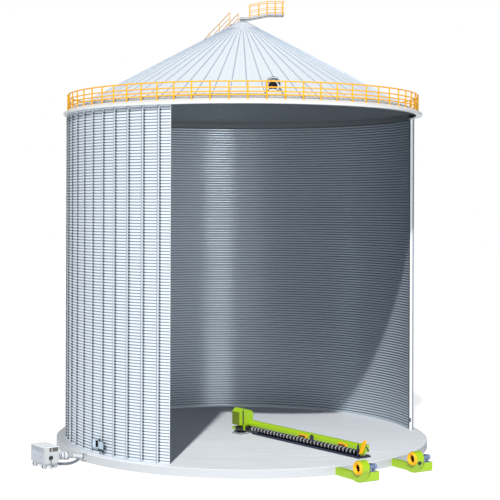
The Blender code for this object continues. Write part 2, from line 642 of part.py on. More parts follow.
def build_fan(name, point):
    """One centrifugal fan with its duct into the slab's side."""
    frame = heading(FAN_ANGLE, (point[0], point[1], 0.0))
    reach, axle, scroll = FAN_REACH, FAN_AXLE_HEIGHT, FAN_SCROLL_RADIUS
    duct_start = FAN_DUCT_START[name]

    def side_view(along, height, across):
        return frame @ Vector((along, across, height))

    outline = []
    for index in range(0, 23):
        angle = math.radians(180.0 - index * 10.0)
        outline.append((reach + scroll * math.cos(angle), axle + scroll * math.sin(angle)))
    outline += [(reach + 0.25, 0.32), (reach + 0.13, 0.07), (reach + 0.08, 0.001), (reach - 0.34, 0.001),
                (reach - scroll - 0.04, 0.10)]
    casing = finish(prism(outline, FAN_NEAR, FAN_FAR, side_view), name + "_casing", "lime_green", smooth=True)
    duct = finish(local_box(frame, (duct_start, -0.06, 0.02), (reach - 0.2, 0.26, 0.47)),
                  "cut_" + name + "_duct", None, CUTTERS)
    stand_outline = ((reach - 0.28, 0.001), (reach + 0.06, 0.001), (reach + 0.16, 0.07), (reach + 0.18, 0.56),
                     (reach - 0.20, 0.56), (reach - 0.28, 0.40))
    stand = finish(prism(stand_outline, FAN_FAR - 0.02, FAN_BACK, side_view),
                   "cut_" + name + "_stand", None, CUTTERS)
    axle_place = along_axis(frame, (reach, 0.0, axle), (0.0, 1.0, 0.0))
    chamber = finish(lathe(((0.0, -0.5), (0.37, -0.5), (0.37, 0.23), (0.0, 0.23)), 32, axle_place),
                     "cut_" + name + "_chamber", None, CUTTERS)
    shaft_hole = finish(lathe(((0.0, 0.1), (0.05, 0.1), (0.05, 0.6), (0.0, 0.6)), 16, axle_place),
                        "cut_" + name + "_shaft", None, CUTTERS)
    boolean(casing, duct, "UNION")
    boolean(casing, stand, "UNION")
    boolean(casing, chamber, "DIFFERENCE")
    boolean(casing, shaft_hole, "DIFFERENCE")

    seat = FAN_NEAR - CLEAR
    finish(lathe(((0.21, -0.34), (0.31, -0.30), (0.345, -0.24), (0.345, seat), (0.40, seat), (0.40, -0.25),
                  (0.35, -0.35), (0.26, -0.36)), 24, axle_place), name + "_inlet_ring", "orange", smooth=True)

    blades = 8
    star = []
    for index in range(blades):
        base = 360.0 * index / blades
        for turn, radius in ((0.0, 0.07), (0.0, 0.33), (8.0, 0.33), (18.0, 0.07)):
            angle = math.radians(base + turn + (8.0 if radius > 0.2 else 0.0))
            star.append((radius * math.cos(angle), radius * math.sin(angle)))
    wheel = finish(prism(star, -0.16, 0.15, lambda u, v, w: axle_place @ Vector((u, v, w))),
                   name + "_impeller", "galvanised")
    plate = finish(lathe(((0.0, 0.13), (0.34, 0.13), (0.34, 0.17), (0.035, 0.17), (0.035, 0.50 - CLEAR),
                          (0.0, 0.50 - CLEAR)), 24, axle_place), "cut_" + name + "_plate", None, CUTTERS)
    boolean(wheel, plate, "UNION")

    motor = finish(lathe(((0.0, 0.50), (0.15, 0.50), (0.17, 0.53), (0.17, 1.02), (0.13, 1.07), (0.0, 1.07)),
                         24, axle_place), name + "_motor", "motor_blue", smooth=True)
    feet = finish(local_box(frame, (reach - 0.14, 0.60, 0.56 + CLEAR), (reach + 0.14, 0.96, 0.78)),
                  "cut_" + name + "_feet", None, CUTTERS)
    boolean(motor, feet, "UNION")

    if name == "fan_right":
        slope = math.radians(PORT_ANGLE)
        middle = (reach, -0.03, axle)
        port_place = along_axis(frame, middle, (math.cos(slope), 0.0, math.sin(slope)))
        bore = PORT_RADIUS + CLEAR
        socket = finish(lathe(((0.0, 0.40 - CLEAR), (bore, 0.40 - CLEAR), (bore, 0.60), (0.0, 0.60)), 20, port_place),
                        "cut_" + name + "_socket", None, CUTTERS)
        boolean(casing, socket, "DIFFERENCE")
        finish(lathe(((0.0, 0.40), (PORT_RADIUS, 0.40), (PORT_RADIUS, 0.53), (0.0, 0.53)), 20, port_place),
               name + "_port", "dark_steel", smooth=True)

    pocket = finish(local_box(frame, (duct_start - CLEAR, -0.06 - CLEAR, -0.01),
                              (0.80, 0.26 + CLEAR, 0.47 + CLEAR)), "cut_" + name + "_pocket", None, CUTTERS)
    return pocket


for fan_name, fan_point in FAN_POINTS.items():
    boolean(slab, build_fan(fan_name, fan_point), "DIFFERENCE")

# Grain cooler on its chassis, with a ribbed duct to an inlet on the slab's side.
cooler = heading(COOLER_TURN + 90.0, (COOLER_CENTRE[0], COOLER_CENTRE[1], 0.0))
CABINET_LOW = 0.325
finish(local_box(cooler, (-0.50, -0.89, CABINET_LOW), (0.50, 0.89, 1.37)), "cooler_cabinet", "cooler_grey")

chassis = finish(local_box(cooler, (-0.44, -0.80, 0.21), (0.44, 0.80, CABINET_LOW - CLEAR)),
                 "cooler_chassis", "dark_steel")
for number, (x, y) in enumerate(((-0.36, -0.60), (-0.36, 0.60), (0.36, -0.60), (0.36, 0.60))):
    wheel_place = along_axis(cooler, (x, y, 0.1605), (1.0, 0.0, 0.0))
    wheel = finish(lathe(((0.0, -0.13), (0.16, -0.13), (0.16, 0.13), (0.0, 0.13)), 24, wheel_place),
                   "cut_cooler_wheel_" + str(number), None, CUTTERS)
    boolean(chassis, wheel, "UNION")

duct_start = Vector((0.50 + CLEAR, 0.0, 0.67))
duct_end = Vector((0.50 + COOLER_DUCT_LENGTH - 0.10, 0.0, 0.36))
duct_line = duct_end - duct_start
duct_place = along_axis(cooler, duct_start, duct_line)
length = duct_line.length
slant = abs(duct_line.z / duct_line.x)
near_end = 0.27 * slant + 2.0 * CLEAR
far_end = length - 0.14 * slant - 2.0 * CLEAR
profile = [(0.0, near_end), (0.27, near_end)]
for index in range(5):
    spot = near_end + 0.17 * index
    profile += [(0.27, spot + 0.09), (0.235, spot + 0.13), (0.27, spot + 0.17)]
profile += [(0.26, 1.00), (0.14, 1.30), (0.14, far_end), (0.0, far_end)]
finish(lathe(profile, 16, duct_place), "cooler_duct", "cooler_grey", smooth=True)
inlet = finish(local_box(cooler, (0.50 + COOLER_DUCT_LENGTH - 0.10, -0.22, 0.12),
                         (0.50 + COOLER_DUCT_LENGTH + 0.14, 0.22, 0.52)), "cooler_inlet", "cooler_grey")
inlet_end = 0.50 + COOLER_DUCT_LENGTH + 0.14 + CLEAR
inlet_pocket = finish(local_box(cooler, (2.30, -0.22 - CLEAR, 0.12 - CLEAR),
                                (inlet_end, 0.22 + CLEAR, 0.52 + CLEAR)), "cut_cooler_pocket", None, CUTTERS)
boolean(slab, inlet_pocket, "DIFFERENCE")
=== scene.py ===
"""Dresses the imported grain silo: corrugated walls, ribbed roof, guardrails, sweep auger, fans and cooler.

Angles are in degrees from the front (-Y), positive towards +X, as in the part's source.
"""

import math

import bmesh
import bpy
from mathutils import Matrix, Vector


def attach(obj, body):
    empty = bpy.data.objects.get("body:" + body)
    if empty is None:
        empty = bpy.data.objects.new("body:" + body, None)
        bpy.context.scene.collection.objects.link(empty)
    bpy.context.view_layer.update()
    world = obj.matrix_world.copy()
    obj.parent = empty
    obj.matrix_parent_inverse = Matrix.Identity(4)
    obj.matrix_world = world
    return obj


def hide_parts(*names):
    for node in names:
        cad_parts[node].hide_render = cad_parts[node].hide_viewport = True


bl_info = {
    "name": "Grain silo dressing",
    "version": (1, 0, 0),
    "blender": (4, 5, 0),
    "location": "3D View > Sidebar > Silo",
    "description": "Builds the visible pieces of a cut-away grain silo around its packed frame",
    "category": "Object",
}

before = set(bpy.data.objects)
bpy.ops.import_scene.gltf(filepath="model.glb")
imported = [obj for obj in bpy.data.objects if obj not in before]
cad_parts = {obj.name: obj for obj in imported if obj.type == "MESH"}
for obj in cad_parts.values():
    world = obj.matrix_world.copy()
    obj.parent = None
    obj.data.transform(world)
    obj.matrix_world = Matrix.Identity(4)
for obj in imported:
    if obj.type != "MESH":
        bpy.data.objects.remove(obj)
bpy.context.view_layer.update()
LOOKS = {}

# Directions and the frame of the whole silo.
X_AXIS = (1.0, 0.0, 0.0)
Y_AXIS = (0.0, 1.0, 0.0)
Z_AXIS = (0.0, 0.0, 1.0)
MINUS_X = (-1.0, 0.0, 0.0)
MINUS_Y = (0.0, -1.0, 0.0)
MINUS_Z = (0.0, 0.0, -1.0)
UP = Vector(Z_AXIS)
WORLD = Matrix.Identity(4)

# Radius that closes a turned profile at its axis, and limits used when a mesh is finished.
AXIS = 0.0005
MERGE_DISTANCE = 0.00005
BEVEL_ANGLE = 40.0

# Sizes that repeat the part's source, in metres and degrees.
FLOOR = 0.53
WALL_RADIUS = 12.0
WALL_SHEET = 0.04
EAVE_UNDER = FLOOR + 21.80
EAVE_TOP = EAVE_UNDER + 0.08
BAYS = 66
BAY = 360.0 / BAYS
WALL_BAYS = 44
CUT_LEFT = -22.7273
STIFFENER_SHIFT = 3.75
ROOF_OUTER = 12.25
ROOF_INNER = 0.60
ROOF_SLOPE = 0.535
SECTOR_BAYS = 22
SECTOR_STARTS = {"front": -11, "right": 11, "left": 33}
RAIL_RADIUS = 11.98
RAIL_LEVELS = (0.259, 0.452, 0.705, 1.067)
HATCH_ANGLE = -50.0
HATCH_OPENING_LEFT = -50.53
HATCH_OPENING_RIGHT = -49.20
HATCH_SILL = 0.44
HATCH_HEAD = 0.86
HATCH_FRAME_RADIUS = 12.17
HATCH_PIN = 0.20
LEAF_START = 0.22
LEAF_END = 0.80
LEAF_LOW = 0.36
LEAF_HIGH = 0.88
STAIR_ANGLE = -143.0
STAIR_FOOT = 11.55
STAIR_HEAD = 0.80
STAIR_HALF = 0.35
SWEEP_ANGLE = 36.0
SCREW_OFFSET = 0.66
SCREW_HEIGHT = 0.33
SCREW_RADIUS = 0.18
ARM_START = 0.425
ARM_END = 11.32
FAN_ANGLE = 31.0
FAN_REACH = 2.50
FAN_AXLE_HEIGHT = 0.85
FAN_SCROLL_RADIUS = 0.45
FAN_NEAR = -0.20
FAN_FAR = 0.30
FAN_BACK = 1.20
FAN_POINTS = {"fan_right": (9.043, -8.455), "fan_front": (5.393, -11.375)}
FAN_DUCT_START = {"fan_right": 0.0, "fan_front": -0.25}
WALK_BEND = 1.75
WALK_END = 2.82
COOLER_CENTRE = (-12.40, -9.27)
COOLER_TURN = 35.0

# Sizes of the dressing that the part's source does not have.
END_GAP = 0.0006
SHEET_GAP = 0.0002
SHEET_HALF = 0.0015
WAVE_STEPS = 6
WALL_RINGS = 20
STIFFENER_DEPTH = 0.072
SPLICE_HALF = 0.14
CLIP_HALF = 0.046
BAND_RADIUS = 11.845
BAND_THICK = 0.012
ROOF_LIFT = 0.0006
ROOF_DROP = 0.006
RIB_HEIGHT = 0.048
BEAD_HEIGHT = 0.014
COLLAR_BOLTS = 33
VENT_BACK = 9.55
VENT_HEIGHT = 22.95
HOOD_BACK = 10.57
HOOD_FRONT = 11.11
STAIR_STEPS = 36
STAIR_LIFT = 0.052
STAIR_POSTS = 10
STAIR_POST_STEP = 1.16
WALK_START = 0.42
WALK_HALF = 0.40
DECK_HEIGHT = 28.90
STRAPS = 7
STRAP_STEP = 1.73
PLATE_SPOTS = (6.14, 9.98)
HANGER_SPOT = 7.04
FAN_EYE = 0.375
DUCT_RINGS = 4
DUCT_RIBBED = 0.98

# The photograph's width and the camera fitted to it, its place in wall radii from the floor's middle.
PHOTO_WIDTH = 500.0
FOCAL_PIXELS = 1298.0935
SIGHT_PIXELS = (205.5849, 207.8783)
SENSOR_WIDTH = 36.0
CAMERA_PLACE = (-0.2087, -7.4696, 1.2945)
CAMERA_ROLL = -0.0035

# Light on the stage: strengths, the sun's width in degrees, and for each glow its aim, place and size.
SUN_ENERGY = 4.25
SUN_WIDTH = 1.6
SUN_COLOUR = (1.0, 0.985, 0.96)
SUN_AIM = (0.12, 0.684, -0.719)
SKY_LIGHT = (0.136, 0.149, 0.170, 1.0)
FLOOR_GREY = (0.25, 0.25, 0.25)
FLOOR_GLOW = 0.80
WHITE = (1.0, 1.0, 1.0, 1.0)
GLOWS = {
    "stage_front_glow": (22000.0, (-0.239, 0.970, 0.0), (24.0, -85.0, 16.0), 28.0, 24.0),
    "stage_left_fill": (3500.0, (1.0, -0.08, 0.0), (-75.0, 6.0, 16.0), 30.0, 30.0),
}


def polar(radius, degrees, height):
    """A point from the silo's own angle and radius."""
    angle = math.radians(degrees)
    return Vector((radius * math.sin(angle), -radius * math.cos(angle), height))


def cone(radius):
    """Height of the roof sheet's top face at a radius."""
    return EAVE_TOP + 0.05 + (ROOF_OUTER - radius) * ROOF_SLOPE


CROWN_TOP = cone(0.20) + 0.12


def carried(section, angles):
    """Rows of points of a (radius, height) section carried round the silo's axis."""
    return [[polar(radius, angle, height) for radius, height in section] for angle in angles]


def heading(degrees, origin=(0.0, 0.0, 0.0)):
    """A frame with local X along an angle of the silo and local Y a quarter turn to its right."""
    forward = polar(1.0, degrees, 0.0)
    side = polar(1.0, degrees + 90.0, 0.0)
    return Matrix((
        (forward.x, side.x, 0.0, origin[0]),
        (forward.y, side.y, 0.0, origin[1]),
        (0.0, 0.0, 1.0, origin[2]),
        (0.0, 0.0, 0.0, 1.0),
    ))


def along_axis(base, position, axis):
    """A frame whose local Z lies along an axis given in another frame."""
    turn = UP.rotation_difference(Vector(axis)).to_matrix().to_4x4()
    return base @ Matrix.Translation(position) @ turn


class Shape:
    """Points and faces of one piece while it is built, with a finish number for each face."""

    def __init__(self):
        self.points = []
        self.faces = []
        self.finishes = []

    def add(self, points, faces, finish=0):
        """Adds points and faces that count from the first of them."""
        first = len(self.points)
        self.points.extend(tuple(point) for point in points)
        self.faces.extend(tuple(first + corner for corner in face) for face in faces)
        self.finishes.extend([finish] * len(faces))

    def grid(self, rows, finish=0, round_rows=False, round_columns=False):
        """Adds a sheet of quads through rows of points."""
        width = len(rows[0])
        faces = []
        for i in range(len(rows) if round_rows else len(rows) - 1):
            for j in range(width if round_columns else width - 1):
                after_i, after_j = (i + 1) % len(rows), (j + 1) % width
                faces.append((i * width + j, i * width + after_j,
                              after_i * width + after_j, after_i * width + j))
        self.add([point for row in rows for point in row], faces, finish)

    def strip(self, rows, finish=0):
        """Adds a closed section carried through rows of points, with a face over each end."""
        self.grid(rows, finish, round_columns=True)
        for row in (rows[0], rows[-1]):
            self.add(row, [tuple(range(len(row)))], finish)

    def shell(self, outline, stations, place, closed=True):
        """Adds an outline in (u, v) carried through stations along w, open at its ends."""
        self.grid([[place(u, v, w) for u, v in outline] for w in stations], round_columns=closed)

    def box(self, base, low, high):
        """Adds a box between two corners of a local frame."""
        corners = [base @ Vector((x, y, z)) for x in (low[0], high[0]) for y in (low[1], high[1])
                   for z in (low[2], high[2])]
        sides = ((0, 1, 3, 2), (4, 6, 7, 5), (0, 4, 5, 1), (2, 3, 7, 6), (0, 2, 6, 4), (1, 5, 7, 3))
        self.add(corners, sides)

    def prism(self, outline, start, end, place):
        """Adds an outline in (u, v) pushed along w, each corner set by place(u, v, w)."""
        count = len(outline)
        points = [place(u, v, start) for u, v in outline] + [place(u, v, end) for u, v in outline]
        faces = [tuple(range(count)), tuple(range(2 * count - 1, count - 1, -1))]
        for index in range(count):
            after = (index + 1) % count
            faces.append((index, index + count, after + count, after))
        self.add(points, faces)

    def lathe(self, profile, count, base):
        """Adds a body of revolution about a frame's Z from (radius, height) points."""
        rows = []
        for radius, height in profile:
            row = []
            for step in range(count):
                angle = 2.0 * math.pi * step / count
                spot = Vector((radius * math.cos(angle), radius * math.sin(angle), height))
                row.append(base @ spot)
            rows.append(row)
        self.grid(rows, round_columns=True)

    def tube(self, path, radius, sides=8):
        """Adds a round tube along a path of points, with capped ends."""
        path = [Vector(point) for point in path]
        count = len(path)
        rows = []
        normal = None
        for index, point in enumerate(path):
            before = path[index - 1] if index else point
            after = path[index + 1] if index < count - 1 else point
            line = (after - before).normalized()
            if normal is None:
                normal = line.orthogonal().normalized()
                if abs(line.z) < 0.9:
                    normal = (UP - line * line.z).normalized()
            normal = (normal - line * normal.dot(line)).normalized()
            other = line.cross(normal)
            row = []
            for step in range(sides):
                angle = 2.0 * math.pi * step / sides
                row.append(point + (normal * math.cos(angle) + other * math.sin(angle)) * radius)
            rows.append(row)
        first = len(self.points)
        self.grid(rows, round_columns=True)
        self.faces.append(tuple(first + step for step in reversed(range(sides))))
        self.faces.append(tuple(first + (count - 1) * sides + step for step in range(sides)))
        self.finishes.extend([0, 0])

    def bolt(self, base, position, axis, radius, height):
        """Adds a hexagon bolt head that stands on a surface."""
        place = along_axis(base, position, axis)
        self.lathe(((radius, 0.0), (radius, height * 0.8), (radius * 0.8, height), (AXIS, height)), 6,
                   place)

    def bolt_circle(self, base, count, spread, level, axis, radius, height):
        """Adds bolt heads evenly round a frame's Z."""
        for number in range(count):
            turn = math.radians(number * 360.0 / count)
            self.bolt(base, (spread * math.cos(turn), spread * math.sin(turn), level), axis, radius, height)

    def stringers(self, base, stations, parts):
        """Adds a channel at each side along (along, height) stations, its web and flanges given as
        (low, high, inner, outer)."""
        for side in (-1.0, 1.0):
            for low, high, inner, outer in parts:
                across = sorted((side * inner, side * outer))
                under = [(x, z + low) for x, z in stations]
                over = [(x, z + high) for x, z in reversed(stations)]
                self.prism(under + over, across[0], across[1], lambda u, v, w: base @ Vector((u, w, v)))


def piece(name, shape, looks, body="silo", replaces=(), smooth=0.0, bevel=0.0, steps=2):
    """Turns a shape into one named object that rides on a body."""
    mesh = bpy.data.meshes.new(name)
    mesh.from_pydata(shape.points, [], shape.faces)
    for look in (looks,) if isinstance(looks, str) else looks:
        mesh.materials.append(LOOKS[look].material)
    mesh.polygons.foreach_set("material_index", shape.finishes)
    work = bmesh.new()
    work.from_mesh(mesh)
    bmesh.ops.remove_doubles(work, verts=work.verts, dist=MERGE_DISTANCE)
    bmesh.ops.recalc_face_normals(work, faces=work.faces)
    work.to_mesh(mesh)
    work.free()
    made = bpy.data.objects.new(name, mesh)
    bpy.context.scene.collection.objects.link(made)
    if smooth:
        mesh.shade_smooth()
        mesh.set_sharp_from_angle(angle=math.radians(smooth))
    if bevel:
        edge = made.modifiers.new("soft_edges", "BEVEL")
        edge.width = bevel
        edge.segments = steps
        edge.limit_method = "ANGLE"
        edge.angle_limit = math.radians(BEVEL_ANGLE)
        edge.harden_normals = bool(smooth)
    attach(made, body)
    if replaces:
        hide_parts(*replaces)


def dress(node, look):
    """Gives a CAD node that stays in view its material."""
    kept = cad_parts[node].data
    kept.materials.clear()
    kept.materials.append(LOOKS[look].material)


class Sock:
    """One output socket, so that shader maths reads as an expression."""

    def __init__(self, look, socket):
        self.look = look
        self.socket = socket

    def maths(self, operation, first, second):
        """One Math node on two values."""
        return self.look.node("ShaderNodeMath", {"operation": operation}, {0: first, 1: second})

    def __add__(self, other):
        return self.maths("ADD", self, other)

    __radd__ = __add__

    def __sub__(self, other):
        return self.maths("SUBTRACT", self, other)

    def __rsub__(self, other):
        return self.maths("SUBTRACT", other, self)

    def __mul__(self, other):
        return self.maths("MULTIPLY", self, other)

    __rmul__ = __mul__

    def __truediv__(self, other):
        return self.maths("DIVIDE", self, other)

    def __rtruediv__(self, other):
        return self.maths("DIVIDE", other, self)


class Look:
    """A material while it is built: its tree, its shader and the one method that adds a node."""

    def __init__(self, name, colour, roughness, metallic=0.0):
        self.material = bpy.data.materials.new(name)
        self.material.use_nodes = True
        self.tree = self.material.node_tree
        self.shader = self.tree.nodes["Principled BSDF"]
        self.colour = (*colour, 1.0)
        self.shader.inputs["Base Color"].default_value = self.colour
        self.shader.inputs["Roughness"].default_value = roughness
        self.shader.inputs["Metallic"].default_value = metallic

    def feed(self, socket, value):
        """Links a socket to a Sock, or sets its value."""
        if isinstance(value, Sock):
            self.tree.links.new(value.socket, socket)
        else:
            socket.default_value = value

    def node(self, kind, settings=None, inputs=None, output=0):
        """Adds a node: its settings first, then the values or links of its sockets."""
        made = self.tree.nodes.new(kind)
        for key, value in (settings or {}).items():
            if key == "stops":
                ramp = made.color_ramp.elements
                for index, (spot, shade) in enumerate(value):
                    stop = ramp[index] if index < len(ramp) else ramp.new(spot)
                    stop.position = spot
                    stop.color = (shade, shade, shade, 1.0)
            else:
                setattr(made, key, value)
        for key, value in (inputs or {}).items():
            self.feed(made.inputs[key], value)
        return Sock(self, made.outputs[output])

    def place(self):
        """Where a point lies on the piece, in metres."""
        return self.node("ShaderNodeTexCoord", output="Object")

    def noise(self, scale, detail=3.0, stretch=(1.0, 1.0, 1.0)):
        """Soft noise from 0 to 1, its grain set per metre."""
        spread = self.node("ShaderNodeMapping", inputs={"Vector": self.place(), "Scale": stretch})
        return self.node("ShaderNodeTexNoise", inputs={"Vector": spread, "Scale": scale, "Detail": detail})

    def ramp(self, value, stops):
        """A grey ramp of a value."""
        return self.node("ShaderNodeValToRGB", {"stops": stops}, {"Fac": value})

    def mix(self, factor, first, second):
        """A colour between two others."""
        return self.node("ShaderNodeMix", {"data_type": "RGBA"}, {0: factor, 6: first, 7: second}, output=2)

    def axis(self, name):
        """One coordinate of the place on the piece."""
        return self.node("ShaderNodeSeparateXYZ", inputs={0: self.place()}, output=name)

    def set(self, name, value):
        """Feeds one input of the shader."""
        self.feed(self.shader.inputs[name], value)

    def bump(self, height, strength=0.3, distance=0.004):
        """Feeds the shader's normal from a height."""
        self.set("Normal", self.node("ShaderNodeBump", inputs={
            "Height": height, "Strength": strength, "Distance": distance}))


class Sky(Look):
    """The world's node tree, with the same methods as a material's."""

    def __init__(self, name):
        self.world = bpy.data.worlds.new(name)
        self.world.use_nodes = True
        self.tree = self.world.node_tree
        self.shader = self.tree.nodes["Background"]


def shade(colour, factor):
    """A colour made lighter or darker."""
    return tuple(min(1.0, part * factor) for part in colour[:3]) + (1.0,)


def painted(name, colour, roughness=0.38, wear=0.25, coat=0.25):
    """Sprayed paint on steel: faint orange peel, dust in broad patches and a thin gloss."""
    look = Look(name, colour, roughness)
    patches = look.ramp(look.noise(1.7, 4.0), ((0.35, 0.0), (0.75, 1.0)))
    dust = look.noise(9.0, 6.0)
    tone = look.mix(patches * wear, look.colour, shade(colour, 0.78))
    look.set("Base Color", look.mix(dust * (wear * 0.5), tone, shade(colour, 1.12)))
    look.set("Roughness", patches * 0.12 + roughness)
    look.set("Coat Weight", coat)
    look.bump(look.noise(220.0, 2.0), 0.08, 0.001)
    return look


def galvanised(name, colour, roughness=0.36, metallic=0.7, spangle=0.12):
    """Zinc-coated sheet: crystal spangle, dull patches and faint streaks down the face."""
    look = Look(name, colour, roughness, metallic)
    crystals = look.node("ShaderNodeTexVoronoi", inputs={"Vector": look.place(), "Scale": 28.0},
                         output="Color")
    grey = look.node("ShaderNodeRGBToBW", inputs={0: crystals})
    streaks = look.ramp(look.noise(1.3, 5.0, (2.0, 2.0, 0.08)), ((0.3, 0.0), (0.8, 1.0)))
    tone = look.mix(grey * spangle, look.colour, shade(colour, 0.72))
    look.set("Base Color", look.mix(streaks * 0.10, tone, shade(colour, 0.70)))
    look.set("Roughness", grey * 0.10 + streaks * 0.08 + roughness)
    look.bump(grey, 0.05, 0.0006)
    return look


def corrugated(name, light, dark, roughness, metallic, pitch, side, spread):
    """Zinc sheet with rolled waves: painted shade darkens the slopes that look down, which are also rougher,
    and leaves the crests in the light colour.
    """
    look = Look(name, light, roughness, metallic)
    turn = (look.axis("Z") - FLOOR) * (2.0 * math.pi / pitch) + math.pi / 4.0
    slope = look.node("ShaderNodeMath", {"operation": "COSINE"}, {0: turn}) * (0.5 * side) + 0.5
    # Mask of the slopes that look down: painted shade in the base colour, mixed towards the dark colour, and
    # a rougher finish.
    down_slope_shade = look.ramp(slope, ((spread[0], 0.0), (spread[1], 1.0)))
    patches = look.ramp(look.noise(0.30, 3.0, (1.0, 1.0, 0.5)), ((0.3, 0.0), (0.75, 1.0)))
    spangle = look.noise(24.0, 4.0)
    tone = look.mix(down_slope_shade, look.colour, (*dark, 1.0))
    tone = look.mix(patches * 0.08, tone, shade(light, 0.62))
    look.set("Base Color", look.mix(spangle * 0.08, tone, shade(light, 0.70)))
    look.set("Roughness", spangle * 0.03 + patches * 0.03 + down_slope_shade * 0.30 + roughness)
    look.bump(spangle, 0.015, 0.0004)
    return look


def slab_concrete(name, colour):
    """Floated concrete: cloudy tone, trowel lines and pores, with painted shade on the cast side, painted
    shadow towards the back and painted shade on the left rim.
    """
    look = Look(name, colour, 0.8)
    clouds = look.ramp(look.noise(0.35, 6.0), ((0.32, 0.0), (0.72, 1.0)))
    trowel = look.ramp(look.noise(1.4, 5.0, (0.22, 3.6, 1.0)), ((0.30, 0.0), (0.70, 1.0)))
    pores = look.ramp(look.noise(38.0, 5.0), ((0.28, 0.0), (0.40, 1.0)))
    # Painted shade: the slab's vertical side is darker below its top edge.
    side = look.ramp(look.axis("Z") / FLOOR, ((0.95, 1.0), (0.985, 0.0)))
    # Painted shadow: darker towards the back of the slab (+Y).
    depth = look.ramp(look.axis("Y") / 24.0 + 0.5, ((0.25, 0.0), (0.92, 1.0)))
    # Painted shade: darker towards the slab's far left rim (-X).
    left_rim_shade = look.ramp(look.axis("X") / -12.7, ((0.74, 0.0), (0.92, 1.0)))
    tone = look.mix(clouds * 0.40, look.colour, shade(colour, 0.86))
    tone = look.mix(trowel * 0.70, tone, shade(colour, 1.20))
    tone = look.mix(depth * 0.90, tone, shade(colour, 0.70))
    tone = look.mix(left_rim_shade * 0.80, tone, shade(colour, 0.50))
    tone = look.mix(side * 0.90, tone, shade(colour, 0.66))
    look.set("Base Color", look.mix(pores, shade(colour, 0.74), tone))
    look.set("Roughness", trowel * 0.18 + 0.62)
    look.bump(pores * 0.6 + trowel * 0.4, 0.25, 0.003)
    return look


def rubber(name, colour):
    """Black rubber or bitumen-painted plate with grey dust."""
    look = Look(name, colour, 0.7)
    dust = look.ramp(look.noise(5.0, 6.0), ((0.42, 0.0), (0.85, 1.0)))
    look.set("Base Color", look.mix(dust * 0.35, look.colour, (0.16, 0.16, 0.15, 1.0)))
    look.set("Roughness", dust * 0.15 + 0.62)
    look.bump(look.noise(90.0, 4.0), 0.2, 0.002)
    return look


class SiloSizes(bpy.types.PropertyGroup):
    """Sizes of the visible pieces that a user may change."""

    wave_pitch: bpy.props.FloatProperty(
        name="Wave pitch", description="Height of one corrugation of the wall sheet",
        default=0.187, unit="LENGTH")
    wave_depth: bpy.props.FloatProperty(
        name="Wave depth", description="Depth of the wall sheet's corrugation", default=0.034, unit="LENGTH")
    stiffener_width: bpy.props.FloatProperty(
        name="Stiffener width", description="Width of an outside wall stiffener", default=0.19, unit="LENGTH")
    clip_width: bpy.props.FloatProperty(
        name="Clip width", description="Reach of a stiffener's clips over the sheet",
        default=0.045, unit="LENGTH")
    post_tube: bpy.props.FloatProperty(
        name="Post tube", description="Diameter of a guardrail post", default=0.098, unit="LENGTH")
    rail_tube: bpy.props.FloatProperty(
        name="Rail tube", description="Diameter of a guardrail's rails", default=0.080, unit="LENGTH")
    flight_pitch: bpy.props.FloatProperty(
        name="Flight pitch", description="Pitch of the sweep auger's flighting", default=0.345, unit="LENGTH")


class SiloColours(bpy.types.PropertyGroup):
    """Finishes of the visible pieces that a user may change."""

    wall: bpy.props.FloatVectorProperty(
        name="Wall", description="Outside of the wall sheets", subtype="COLOR", default=(0.63, 0.70, 0.775))
    inside: bpy.props.FloatVectorProperty(
        name="Inside", description="Inside of the wall sheets", subtype="COLOR", default=(0.66, 0.745, 0.83))
    roof: bpy.props.FloatVectorProperty(
        name="Roof", description="Roof sheets", subtype="COLOR", default=(0.66, 0.715, 0.765))
    concrete: bpy.props.FloatVectorProperty(
        name="Concrete", description="Foundation slab", subtype="COLOR", default=(0.60, 0.635, 0.675))
    rail: bpy.props.FloatVectorProperty(
        name="Rail", description="Guardrails and handrails", subtype="COLOR", default=(0.83, 0.395, 0.0))
    green: bpy.props.FloatVectorProperty(
        name="Green", description="Sweep auger and fan casings", subtype="COLOR", default=(0.28, 0.46, 0.008))
    orange: bpy.props.FloatVectorProperty(
        name="Orange", description="Fan inlets and sweep end bar", subtype="COLOR", default=(0.80, 0.38, 0.0))
    blue: bpy.props.FloatVectorProperty(
        name="Blue", description="Electric motors", subtype="COLOR", default=(0.16, 0.225, 0.36))
    hatch: bpy.props.FloatVectorProperty(
        name="Hatch", description="Access hatch", subtype="COLOR", default=(0.36, 0.46, 0.56))
    cooler: bpy.props.FloatVectorProperty(
        name="Cooler", description="Grain cooler", subtype="COLOR", default=(0.42, 0.445, 0.46))


